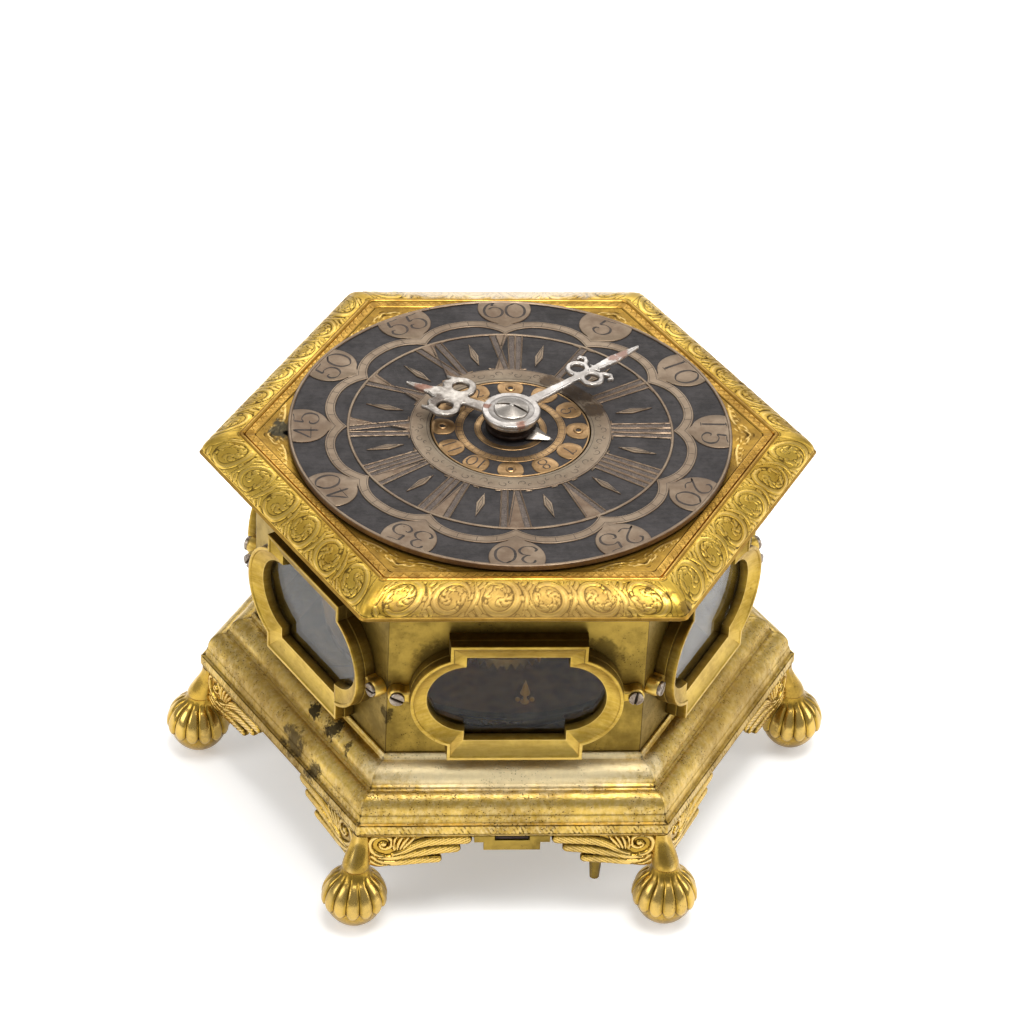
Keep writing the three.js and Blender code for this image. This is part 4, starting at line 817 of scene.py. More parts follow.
def evenProfile(parts, pitch):
    # the profile's corners kept, and points added so that no step is longer than pitch
    points = np.concatenate([np.asarray(p, float).reshape(-1, 2) for p in parts])
    out = [points[:1]]
    for a, b in zip(points[:-1], points[1:]):
        n = max(1, int(np.ceil(np.hypot(*(b - a)) / pitch)))
        out.append(a + (b - a) * np.linspace(0, 1, n + 1)[1:, None])
    return np.concatenate(out)


def foliage(x, y, strokes):
    # the nearest stroke and the second nearest, each as distance over the stroke's radius there
    starts = np.concatenate([[0], np.cumsum([len(one) for one in strokes])[:-1]])
    near = np.empty((np.size(x), 2))
    for part, d in strokeParts(x, y, np.concatenate(strokes)):
        near[part] = np.sort(np.partition(np.minimum.reduceat(d, starts, axis=1), 1, axis=1)[:, :2], axis=1)
    return [one.reshape(np.shape(x)) for one in near.T]


def engraved(first, second):
    # rounded leaves with a cut line round each: a leaf's height, and how deep the cut is
    leaf = np.sqrt(unit(1 - np.minimum(first, 1) ** 2))
    between = peak(second - first, 0.25) * (first < 1.3)
    around = peak(first - 1.05, 0.2)
    return leaf, unit(between + around)


def scrollUnit(cx, cy, size, hand, lift, turn):
    # one C-scroll that winds in as a thinner branch with pointed leaves on its outer side, the whole turned by turn,
    # and leaves between it and the scroll before
    parts = [stroke(spiral(0, 0, 1.0, 0.76, 168, -0.84, 26), [0.06, 0.15, 0.2, 0.19, 0.15, 0.12], 0.04),
             stroke(spiral(-0.03, 0.03, 0.74, 0.16, -132, -0.8, 26), [0.12, 0.12, 0.1, 0.08, 0.1], 0.03)]
    leaves = [(196, 0.5, 0.86, 0.5, 0.13), (146, 0.5, 0.84, 0.42, 0.14), (100, 0.46, 0.74, 0.4, 0.13),
              (58, 0.4, 0.7, 0.4, 0.13), (14, 0.34, 0.66, 0.42, 0.13), (-34, 0.26, 0.58, 0.5, 0.13),
              (-88, 0.16, 0.46, 0.6, 0.12)]
    for at, start, reach, bend, wide in leaves:
        a, mid = math.radians(at), (start + reach) / 2
        line = [polar(start, a), polar(mid, a + 0.08), polar(reach * 0.96, a + bend)]
        parts.append(stroke(line, [0.09, wide, 0.04], 0.03))
    c, s = wayOf(turn)
    parts = [one @ np.array([[c, s, 0], [-s, c, 0], [0, 0, 1]]) for one in parts]
    parts.append(stroke([(-1.52, -0.8), (-1.2, -0.3), (-1.12, 0.25), (-1.34, 0.86)], [0.06, 0.14, 0.14, 0.05], 0.04))
    between = [(-1.1, -0.46, -0.84, -1.02), (-1.32, -0.74, -1.16, -1.12), (-1.04, 0.5, -0.8, 1.0),
               (-1.22, 0.7, -1.06, 1.12), (-1.36, 0.12, -1.5, -0.12), (-0.78, -0.86, -0.36, -1.12),
               (0.8, 0.86, 0.46, 1.12), (0.86, -0.9, 0.6, -1.14)]
    for x0, y0, x1, y1 in between:
        parts.append(stroke([(x0, y0), ((x0 + x1) / 2 + 0.06, (y0 + y1) / 2), (x1, y1)], [0.11, 0.13, 0.04], 0.03))
    return [one * (size, size * hand * lift, size) + (cx, cy, 0) for one in parts]


topFrame = dict(
    outer=64.95, foot=92.2, bead=1.2, crest=55.45, crestBead=1.2, crestZ=98.5, border=53.15, borderZ=98.25,
    perSide=290, pitch=0.27, fineSide=330, flatter=0.14, units=6, unitSize=4.7, stretch=1.06, lift=0.04, cut=0.085,
    eggs=29, corner=1.7, ovoloSteps=46, mitreWide=0.22,
)


def makeTopFrame(look):
    # a profile carried round six mitres; its ovolo is a quarter of an ellipse, flattened towards its chord
    foot, border, outer, borderZ, units = pick(look, "foot border outer borderZ units")
    beadZ = foot + look["bead"]
    low = np.array([(border + 3, foot), (outer - 1.0, foot), (outer - 0.6, foot), (outer, foot + 0.6),
                    (outer - 0.25, foot + 0.98), (outer - 0.42, beadZ)])
    lowEnd, highEnd = np.array([outer - 0.42, beadZ + 0.05]), np.array([look["crest"] + look["crestBead"], borderZ])
    steps = look["ovoloSteps"]
    ovolo = quarterRound(lowEnd, highEnd, steps)
    ovolo = ovolo + look["flatter"] * (lowEnd + (highEnd - lowEnd) * np.linspace(0, 1, steps)[:, None] - ovolo)
    crest = look["crest"] + look["crestBead"] / 2
    bead = np.column_stack(polar(0.6, np.linspace(-0.15, math.pi + 0.15, 9))) + (crest, look["crestZ"] - 0.62)
    flat = np.array([(look["crest"] - 0.2, borderZ), (border + 0.25, borderZ),
                     (border, borderZ - 0.2), (border, borderZ - 1.2)])
    hidden = np.array([lowEnd + (-1.2, 0.4), highEnd + (0.3, -1.4)])
    profile = np.concatenate([low, hidden, evenProfile([bead, flat], look["pitch"])])
    tuck = np.array([lowEnd + (-0.6, 0.1)])
    band = np.concatenate([tuck, ovolo, highEnd + [(-0.3, -0.4)], tuck])
    onBorder = (profile[:, 0] < look["crest"] - 0.25) & (profile[:, 0] > border + 0.3)
    bandLength = np.concatenate([[0], np.cumsum(np.hypot(*np.diff(band, axis=0).T))])
    v0, v1 = bandLength[1], bandLength[steps]
    half = (outer + look["crest"]) / 2 * tan30
    across = (v0 + v1) / 2
    scrolls = []
    for k in range(units):
        x = (k - (units - 1) / 2) * (2 * half / (units + 0.1))
        size = look["unitSize"] * (0.98 + 0.05 * math.sin(3.7 * k + 1))
        turn = 25 * math.sin(2.1 * k) + (170 if k % 3 == 1 else 0)
        scrolls += scrollUnit(x, across, size, 1 if k % 2 == 0 else -1, look["stretch"], turn)

    def carved(along, edge, rows):
        v = bandLength[rows]
        first, second = foliage(along * (half / np.maximum(along.max(1)[:, None], 1)), v, scrolls)
        leaf, cutLine = engraved(first, second)
        cutLine = np.maximum(cutLine, 0.5 * peak(first - 0.45, 0.1))
        dots = 0.5 + 0.5 * np.sin(along * 9 + np.sin(v * 5)) * np.sin(v * 9 + np.sin(along * 4))
        open_ = unit((first - 1.1) / 0.3) * (0.6 + 0.8 * dots)
        fade = unit((edge - 0.4) / 0.5) * unit((v - v0 - 0.2) / 0.3) * unit((v1 - 0.2 - v) / 0.3)
        frame = peak(v - v0 - 0.35, 0.12) + peak(v1 - 0.35 - v, 0.12) + peak(edge - 0.75, 0.12)
        frame = unit(frame) * unit((v - v0) / 0.2) * unit((v1 - v) / 0.2)
        height = (leaf * look["lift"] - cutLine * look["cut"] - open_ * 0.04) * fade - 0.06 * frame
        value = 0.6 + fade * (0.2 * leaf * (1 - cutLine) - 0.6 * cutLine - 0.2 * open_) - 0.4 * frame
        mitre = peak(edge, look["mitreWide"])
        return height - 0.06 * mitre, unit(value - 0.25 * mitre)

    def relief(along, edge, rows):
        # border: a row of small rounded leaves between two fine lines
        b = (profile[rows, 0] - border) / (look["crest"] - border)
        cell = along / (2 * border * tan30) * look["eggs"]
        c = cell - np.floor(cell) - 0.5
        arch = np.abs(b - (0.28 + 0.5 * (1 - (2 * c) ** 2)))
        line = peak(arch, 0.085) + peak(b - 0.14, 0.05) + 0.7 * peak(c, 0.07) * (b > 0.3) * (b < 0.6)
        line = unit(line) * unit(edge / 0.8)
        height = np.where(onBorder[rows], -0.13 * line, 0.0)
        value = np.where(onBorder[rows], 0.6 - 0.5 * line, 0.62)
        # the mitre is a fine line
        mitre = peak(edge, look["mitreWide"])
        return height - 0.1 * mitre, unit(value - 0.3 * mitre)

    body = hexSweep(profile, relief, look["perSide"], 1.1, 4)
    addPiece("topFrame", [body], "giltFrame", "case", ["top_frame"], 50.0)
    ovoloBand = hexSweep(band, carved, look["fineSide"], look["corner"], 4)
    addPiece("topOvolo", [ovoloBand], "giltOvolo", "case", (), 50.0)


makeTopFrame(topFrame)

baseMoulding = dict(
    wall=52.8, reach=11.7, foot=26.1, rise=16.3, hinge=(66.2, 26.05), perSide=125, pitch=0.44, corner=0.25,
    leafPitch=3.6, hatchPitch=1.12,
    lip=[(0.975, 0.0), (0.995, 0.02), (1.0, 0.043), (0.97, 0.05), (0.97, 0.2), (0.985, 0.215)],
    step=[(0.93, 0.225), (0.92, 0.245), (0.905, 0.325)],
    lowerRound=[(0.88, 0.365), (0.565, 0.63)],
    fillet=[(0.555, 0.635), (0.535, 0.64), (0.53, 0.68), (0.505, 0.69)],
    upperRound=[(0.485, 0.7), (0.1, 0.94)],
    astragal=[(0.085, 0.965), (0.08, 1.0), (0.05, 1.03), (0.015, 1.03), (0.003, 1.0)],
)


def makeBaseMoulding(look):
    # lip, step, two quarter rounds, fillet and astragal round the hexagon, and a hatched strip on the lip
    wall, foot, rise, corner, hinge = pick(look, "wall foot rise corner hinge")
    at = lambda shares: [(wall + o * look["reach"], foot + u * rise) for o, u in shares]
    lower, upper = at(look["lowerRound"]), at(look["upperRound"])
    profile = evenProfile([
        [(wall - 1.0, foot)], at(look["lip"]), at(look["step"]), quarterRound(*lower, 14), at(look["fillet"]),
        quarterRound(*upper, 14), at(look["astragal"]), [(wall + 0.05, foot + rise - 0.3)],
    ], look["pitch"])
    up = (profile[:, 1] - foot) / rise
    out = (profile[:, 0] - wall) / look["reach"]
    onLip = (out > 0.99) & (up > 0.015) & (up < 0.2)

    def relief(along, edge, rows):
        b = (up[rows] - 0.02) / 0.17
        line = unit(peak(b - 0.03, 0.07) + peak(b - 0.97, 0.07))
        height = np.where(onLip[rows], -0.16 * line, 0)
        value = np.where(onLip[rows], 0.68 - 0.55 * line, 0.6)
        groove = peak(up[rows] - 0.23, 0.016) + peak(up[rows] - 0.345, 0.018) + peak(up[rows] - 0.665, 0.022)
        groove = unit(groove + 0.8 * peak(up[rows] - 0.96, 0.02)) * (out[rows] > 0.02)
        value = value - 0.36 * groove
        mitre = peak(edge, 0.2)
        return height - 0.08 * mitre, unit(value - 0.3 * mitre)

    body = hexSweep(profile, relief, look["perSide"], corner, 4, 0.5)
    turn = np.radians(np.linspace(174, 450, 30))
    round_ = np.column_stack(polar(1.5, turn)) + hinge
    section = np.concatenate([[(hinge[0] - 2.2, foot + 0.1)], round_, [(hinge[0] - 2.2, foot + 1.3)]])
    middle = section.mean(0)
    rows = [np.column_stack([np.full(len(section), x), middle + (section - middle) * k])
            for x, k in ((-3.0, 0.0), (-3.0, 0.9), (-2.85, 1.0), (2.85, 1.0), (3.0, 0.9), (3.0, 0.0))]
    knuckle = gridSkin(np.stack(rows), True, np.full((6, len(section)), 0.6))
    addPiece("baseMoulding", [body, knuckle], "giltBase", "case", ["base_moulding"], 40.0)
    reach, low, high = wall + look["reach"], foot + 0.045 * rise, foot + 0.205 * rise
    face = np.linspace(low, high, 13)
    strip = np.concatenate([[(reach - 0.5, low)], np.column_stack([np.full(13, reach + 0.03), face]),
                            [(reach - 0.5, high)], [(reach - 0.5, low)]])

    def hatched(along, edge, rows):
        b = unit((strip[rows, 1] - low) / (high - low))
        wave = 0.5 + 0.5 * np.cos(2 * math.pi * (along + 1.5 * b + 0.5 * np.sin(along * 0.31)) / look["hatchPitch"])
        cell = (along - 1.1 * b) / look["leafPitch"]
        c = np.abs(cell - np.floor(cell) - 0.5)
        line = 1.1 * wave ** 1.4 * (0.75 + 0.25 * np.sin(along * 0.9)) * np.clip(np.abs(c - 0.25) * 9, 0.3, 1)
        line = line + peak(b, 0.08) + peak(b - 1, 0.08)
        line = unit(line) * unit(edge / 0.6)
        return -0.12 * line, unit(0.62 - 0.44 * line - 0.1 * np.sin(along * 0.7) * np.sin(along * 0.23))

    addPiece("baseLip", [hexSweep(strip, hatched, 520, corner, 2)], "giltBase", "case", (), 40.0)


makeBaseMoulding(baseMoulding)
print("mouldings ready")

# dial

dial = dict(
    turned=-1.3, plateZ=98.0, groundZ=99.62, padZ=99.9, rim=53.5, rimZ=100.0, foot=98.6, seat=49.0, bore=19.45,
    signIn=19.75, signOut=24.4, ringScrolls=30, innerRing=(38.75, 39.4), arcLow=39.3, arcRise=3.75, arcWidth=2.45,
    arcPower=2.5, padRadius=6.65, padCentre=50.2, padLimit=52.75, digitTall=6.2, digitWide=4.7, digitGap=0.75,
    thick=0.66, thin=0.2, digitAt=49.2, lozengeIn=26.6, lozengeOut=35.9, lozengeAt=30.6, lozengeWide=1.0,
    inkLift=0.012, inkWide=0.13, around=720, padAround=96,
)

# each digit's strokes as x, y, x, y ... in hundredths of its width and height
digitLines = {
    "0": [[50, 100, 12, 82, 0, 50, 12, 18, 50, 0, 88, 18, 100, 50, 88, 82, 50, 100, 20, 88]],
    "1": [[50, 100, 50, 66, 50, 33, 50, 0], [34, 97, 50, 100, 66, 100], [34, 0, 50, 0, 66, 0]],
    "2": [[20, 68, 8, 80, 28, 98, 66, 98, 88, 76, 72, 48, 30, 18, 5, 2], [5, 2, 30, 12, 62, 0, 98, 12]],
    "3": [[16, 80, 28, 97, 62, 98, 82, 78, 66, 58, 40, 53], [40, 53, 78, 48, 96, 26, 74, 3, 34, 0, 10, 16, 20, 30]],
    "4": [[68, 100, 40, 68, 2, 30], [2, 30, 40, 30, 98, 30], [68, 100, 68, 60, 68, 30, 68, 0]],
    "5": [[92, 100, 62, 96, 30, 97], [30, 97, 25, 78, 20, 58],
          [20, 58, 50, 66, 86, 54, 96, 28, 76, 4, 36, 0, 8, 18, 16, 36, 34, 34]],
    "6": [[70, 80, 42, 84, 50, 100, 16, 84, 0, 46, 14, 12, 50, 0, 86, 14, 98, 42, 80, 66, 46, 70, 22, 56]],
    "7": [[4, 90, 30, 98, 66, 90, 96, 100], [96, 100, 64, 56, 42, 0]],
    "8": [[50, 54, 16, 68, 22, 93, 50, 100, 78, 93, 84, 68, 50, 54, 10, 38, 6, 12, 50, 0, 94, 12, 90, 38, 50, 54]],
    "9": [[86, 56, 60, 36, 20, 42, 4, 68, 22, 94, 58, 100, 90, 82, 96, 50, 74, 12, 30, 0]],
}


def digitSkins(text, tall, wide, gap, thick, thin, z, place):
    # the digits side by side about the middle; place(x, y) carries them to their spot on the dial
    skins = []
    whole = len(text) * wide + (len(text) - 1) * gap
    for k, letter in enumerate(text):
        for points in digitLines[letter]:
            line = smoothLine(np.reshape(points, (-1, 2)) / 100, 5 * len(points))
            line = np.column_stack([line[:, 0] * wide - whole / 2 + k * (wide + gap), (line[:, 1] - 0.5) * tall])
            strip = penRibbon(line, thick, thin, z)
            x, y = place(strip["points"][:, 0], strip["points"][:, 1])
            skins.append(dict(strip, points=np.column_stack([x, y, strip["points"][:, 2]])))
    return skins


def radialPlace(radius, turn):
    # x across, y outwards from a point at radius in the direction turn, in degrees
    c, s = wayOf(turn)
    return lambda x, y: ((radius + y) * c + x * s, (radius + y) * s - x * c)


def arcInner(q, look):
    # the scalloped band's inner edge: q is 0 in the middle of an arch and 1 at its ends
    return look["arcLow"] + look["arcRise"] * (1 - np.abs(q) ** look["arcPower"])


def bandRadius(turn, share, look):
    # a line in the band: share 0 is its inner edge, 1 its outer edge, measured square to the band
    q = (np.degrees(turn) % 30 - 15) / 15
    inner = arcInner(q, look)
    slope = look["arcRise"] * look["arcPower"] * np.abs(q) ** (look["arcPower"] - 1) / (inner * math.radians(15))
    return inner + share * look["arcWidth"] * np.sqrt(1 + slope ** 2)


def bevelStrip(innerLine, outerLine, low, top, edge):
    # a raised band between two closed lines (n, 2): walls, bevelled edges and a flat top
    inner, outer = np.asarray(innerLine), np.asarray(outerLine)
    width = np.maximum(np.hypot(*(outer - inner).T), 1e-6)[:, None]
    e = np.minimum(edge / width, 0.45)
    rows = [inner, inner, inner + (outer - inner) * e, outer - (outer - inner) * e, outer, outer]
    shoulder = top - edge * 0.7
    points = [level(z, row) for row, z in zip(rows, [low, shoulder, top, top, shoulder, low])]
    value = np.repeat(np.array([0.3, 0.5, 0.75, 0.75, 0.5, 0.3])[:, None], len(inner), 1)
    return gridSkin(np.stack(points), True, value, True)


def circleLine(radius, count):
    # points round a circle; the radius may be a function of the angle
    turn = fullTurn(count)
    return np.column_stack(polar(radius(turn) if callable(radius) else radius, turn))


def tick(degrees, r0, r1, wide, z):
    # a short line that points at the dial's middle
    way = np.array(wayOf(degrees))
    return ribbon([r0 * way, r1 * way], wide, z)


def padSkin(place, x, y, rows):
    # a low pad: each row is a share of the outline with its height and its tone
    points = [level(z, *place(x * share, y * share)) for share, z, _ in rows]
    return gridSkin(np.stack(points), True, np.stack([np.full(len(x), tone) for _, _, tone in rows]))


romanNumerals = ["XII", "I", "II", "III", "IIII", "V", "VI", "VII", "VIII", "IX", "X", "XI"]
roman = dict(bar=1.3, line=0.36, gap=0.36, legV=5.0, legX=5.0, inner=24.2, outer=38.95, pitch=0.16, serif=1.4,
             hair=0.18, widest=7.4)


def romanStrokes(text, look):
    # letters from left to right: thick bars as (x at the foot, x at the top), hairlines alike, and the silver between
    bar, gap = pick(look, "bar gap")
    thick, hair, silver = [], [], []
    x = 0.0
    step = bar + gap + look["line"] * 0.6
    for letter in text:
        if letter == "I":
            thick.append((x + bar / 2, x + bar / 2))
            x += step
        elif letter == "V":
            w = look["legV"]
            thick.append((x + w * 0.52, x + bar / 2))
            hair.append((x + w * 0.56, x + w * 0.92))
            silver.append([(x + w * 0.52, 0), (x + w * 0.66, 0), (x + w, 1), (x + bar / 2, 1)])
            x += w + gap * 0.4
        else:
            w = look["legX"]
            thick.append((x + w - bar * 0.6, x + bar * 0.6))
            hair.append((x + w * 0.08, x + w * 0.9))
            silver.append([(x, 0), (x + w * 0.2, 0), (x + w * 0.52, 0.5)])
            silver.append([(x + w * 0.48, 0.5), (x + w, 1), (x + w * 0.8, 1)])
            silver.append([(x + w * 0.52, 0.42), (x + w * 0.86, 0), (x + w * 0.2, 0)])
            silver.append([(x + w * 0.48, 0.58), (x + w * 0.14, 1), (x + w * 0.8, 1)])
            x += w + gap * 0.4
    return thick, hair, silver, x - gap


def polygonDistance(x, y, corners):
    # negative inside a convex or concave polygon
    corners = np.asarray(corners, float)
    best = np.full(np.shape(x), 1e9)
    inside = np.zeros(np.shape(x), bool)
    for a, b in zip(corners, np.roll(corners, -1, 0)):
        best = np.minimum(best, segmentDistance(x, y, a[0], a[1], b[0], b[1], 0, 0))
        crosses = (a[1] > y) != (b[1] > y)
        at = a[0] + (y - a[1]) * (b[0] - a[0]) / (b[1] - a[1] if b[1] != a[1] else 1e-9)
        inside ^= crosses & (x < at)
    return np.where(inside, -best, best)


def numeralSkins(text, turn, look, z0, z1):
    # one numeral that stands on the inner radius, its letters a little wider at the top
    thick, hair, silver, width = romanStrokes(text, look)
    squeeze = min(1.0, look["widest"] / width)
    r0, r1 = look["inner"], look["outer"]
    spread = lambda x, share: (x - width / 2) * squeeze * (0.84 + 0.3 * share)
    bars = [(spread(a, 0), 0.0, spread(b, 1), 1.0) for a, b in thick]
    tall = r1 - r0
    wide = look["bar"] * (0.5 + 0.5 * squeeze)

    def distance(x, y):
        # silver lines along both sides of each bar, the wedges, less the bars themselves
        d = np.full(np.shape(x), 1e9)
        for a, _, b, _ in bars:
            d = np.minimum(d, segmentDistance(x, y, a, -1, b, tall + 1, wide * 0.42 + look["line"],
                                              wide * 0.55 + look["line"]))
        for shape in silver:
            d = np.minimum(d, polygonDistance(x, y, [(spread(px, py), py * tall) for px, py in shape]))
        for a, _, b, _ in bars:
            d = np.maximum(d, -segmentDistance(x, y, a, -1, b, tall + 1, wide * 0.42, wide * 0.55))
        for side in (-1, 1):
            edge = side * (width * squeeze / 2 + look["line"])
            for foot, share in ((0.25, 0.84), (tall - 0.3, 1.14)):
                d = np.minimum(d, segmentDistance(x, y, edge * share, foot, (edge + side * look["serif"]) * share,
                                                  foot, 0.26, 0.14))
        return np.maximum(d, np.maximum(-y + 0.02, y - tall + 0.02))

    reach = width * 0.62 + 2.4
    plate = cutPlate(distance, (-reach, -0.2, reach, tall + 0.2), look["pitch"], z0, z1, 0.1)
    place = radialPlace(r0, turn)
    out = lambda one: dict(one,
                           points=np.column_stack([*place(one["points"][:, 0], one["points"][:, 1]),
                                                   one["points"][:, 2]]))
    dark = []
    for a, _, b, _ in bars:
        corners = np.array([[a - wide * 0.45, 0.1], [a + wide * 0.45, 0.1], [b + wide * 0.58, tall - 0.1],
                            [b - wide * 0.58, tall - 0.1]])
        dark.append(out(skin(level(z0 + 0.1, corners), [[0, 1, 2, 3]])))
    fine = [out(ribbon([(spread(a, 0.06), 0.06 * tall), (spread(b, 0.94), 0.94 * tall)], look["hair"], z1 + 0.012))
            for a, b in hair]
    return out(plate), dark, fine


def makeDial(look):
    # a dark disc with raised silver bands, cartouches, lozenges and numerals, and ink lines on them
    rim, foot, bore, padCentre, seat = pick(look, "rim foot bore padCentre seat")
    padZ, groundZ, signIn, signOut, inkWide, around = pick(look, "padZ groundZ signIn signOut inkWide around")
    inkZ = padZ + look["inkLift"]
    silver, ink, hatch = [], [], []

    def band(inner, outer, low, top, edge):
        silver.append(bevelStrip(circleLine(inner, around), circleLine(outer, around), low, top, edge))

    # rim, numeral ring and the bare signature ring
    band(look["padLimit"] - 0.05, rim, foot, look["rimZ"], 0.2)
    band(*look["innerRing"], groundZ - 0.3, padZ + 0.01, 0.12)
    band(signIn, signOut, groundZ - 0.3, padZ, 0.12)
    band(bore, signIn + 0.3, foot + 0.4, padZ - 0.02, 0.1)
    middle = (signIn + signOut) / 2
    for k in range(look["ringScrolls"]):
        turn, hand = 2 * math.pi * k / look["ringScrolls"], 1 if k % 2 == 0 else -1
        for grow, start, turns, off, along in ((1.15, 200, -0.85, 0.15, 0.0), (0.62, 20, 0.7, -0.7, 1.5)):
            curl = spiral(0, 0, grow, 0.25, start, turns, 22)
            line = polar(middle + hand * (curl[:, 1] + off), turn + (curl[:, 0] + along) / middle)
            ink.append(ribbon(np.column_stack(line), 0.1 + 0.08 * np.sin(np.linspace(0, math.pi, 22)), inkZ))
    for radius in (signIn + 0.42, signOut - 0.36):
        ink.append(ribbon(closed(circleLine(radius, 240)), 0.12, inkZ))
    # scalloped minute band
    edgeOf = lambda share: lambda turn: bandRadius(turn, share, look)
    band(edgeOf(0.0), edgeOf(1.0), groundZ - 0.3, padZ - 0.012, 0.12)
    for share in (0.17, 0.83):
        ink.append(ribbon(closed(circleLine(edgeOf(share), around)), inkWide, inkZ - 0.008))
    for minute in range(60):
        if minute % 5:
            turn = 90 - 6 * minute
            ink.append(tick(turn, edgeOf(0.2)(math.radians(turn)), edgeOf(0.8)(math.radians(turn)), inkWide,
                            inkZ - 0.006))
    # cartouches with their numbers
    phi = fullTurn(look["padAround"])
    reach = np.full(len(phi), look["padRadius"])
    for _ in range(12):
        x, y = polar(reach, phi)
        over = np.hypot(x, padCentre + y) - look["padLimit"]
        reach = np.where(over > 0, reach - over * 0.6, reach)
    neck = np.abs(np.angle(np.exp(1j * (phi + math.pi / 2))))
    reach = np.maximum(reach, np.where(neck < 0.4, (padCentre - 42.3) * (1 - 0.5 * neck), 0))
    padRows = [(1.0, groundZ - 0.3, 0.3), (1.0, padZ - 0.07, 0.5), (0.975, padZ + 0.01, 0.75),
               (0.5, padZ + 0.01, 0.66), (0.0, padZ + 0.01, 0.66)]
    # half-hour lozenges between the numerals: x to the side, y from the lozenge's centre
    low, mid, high, w = look["lozengeIn"], look["lozengeAt"], look["lozengeOut"], look["lozengeWide"]
    lozenge = np.array([(0, low), (w, mid), (0, high), (-w, mid)]) - (0, mid + 0.6)
    lozengeRows = [(1.0, groundZ - 0.1, 0.35), (1.0, padZ - 0.06, 0.6), (0.8, padZ + 0.02, 0.85),
                   (0.0, padZ + 0.06, 0.7)]
    cuts = [((-0.34, low + 0.8), (0.34, low + 0.8))]
    for side in (-1, 1):
        cuts += [((0, low + 1.6), (side * w * 0.45, mid + 0.4)), ((side * w * 0.45, mid + 0.4), (0, high - 1.3))]
    for k in range(12):
        turn = 90 - 30 * k
        silver.append(padSkin(radialPlace(padCentre, turn), *polar(reach, phi), padRows))
        sizes = pick(look, "digitTall digitWide digitGap thick thin")
        ink += digitSkins(str(60 if k == 0 else 5 * k), *sizes, padZ + 0.022, radialPlace(look["digitAt"], turn))
        silver.append(padSkin(radialPlace(mid + 0.6, turn - 15), *lozenge.T, lozengeRows))
        ink += [ribbon(np.column_stack(radialPlace(0, turn - 15)(*np.transpose(cut))), 0.12, padZ + 0.085)
                for cut in cuts]
        plate, dark, fine = numeralSkins(romanNumerals[k], turn, roman, groundZ - 0.05, padZ)
        silver.append(plate)
        hatch += dark
        ink += fine
    # the matted ground under it all, with the edge and the foot of the disc
    ground = lathe([(bore + 0.05, foot), (seat, foot), (seat, look["plateZ"] + 0.12),
                    (rim - 0.05, foot), (rim - 0.1, groundZ)], 360, None, True)
    top = lathe([(r, groundZ) for r in np.linspace(rim - 0.2, bore + 0.1, 60)], 360, None, True)
    addPiece("dialGround", [ground, top], "ground", "case", ["chapter_disc"])
    for name, skins, finish, sharp in (("dialSilver", silver, "silver", 30.0), ("dialHatch", hatch, "hatch", 35.0),
                                       ("dialInk", ink, "ink", 35.0)):
        addPiece(name, [turnedBy(one, look["turned"]) for one in skins], finish, "case", (), sharp)


makeDial(dial)

alarmDial = dict(
    turned=-3.0, outer=19.15, low=98.2, bore=3.4, groundZ=99.68, padZ=99.88, padIn=13.55, padOut=18.75, padWide=3.1,
    ring=(11.45, 13.4), hubRing=(7.1, 8.75), tall=3.6, wide=2.2, gap=0.35, thick=0.38, thin=0.13, first=3, ticks=48,
    around=240, padAround=72,
)


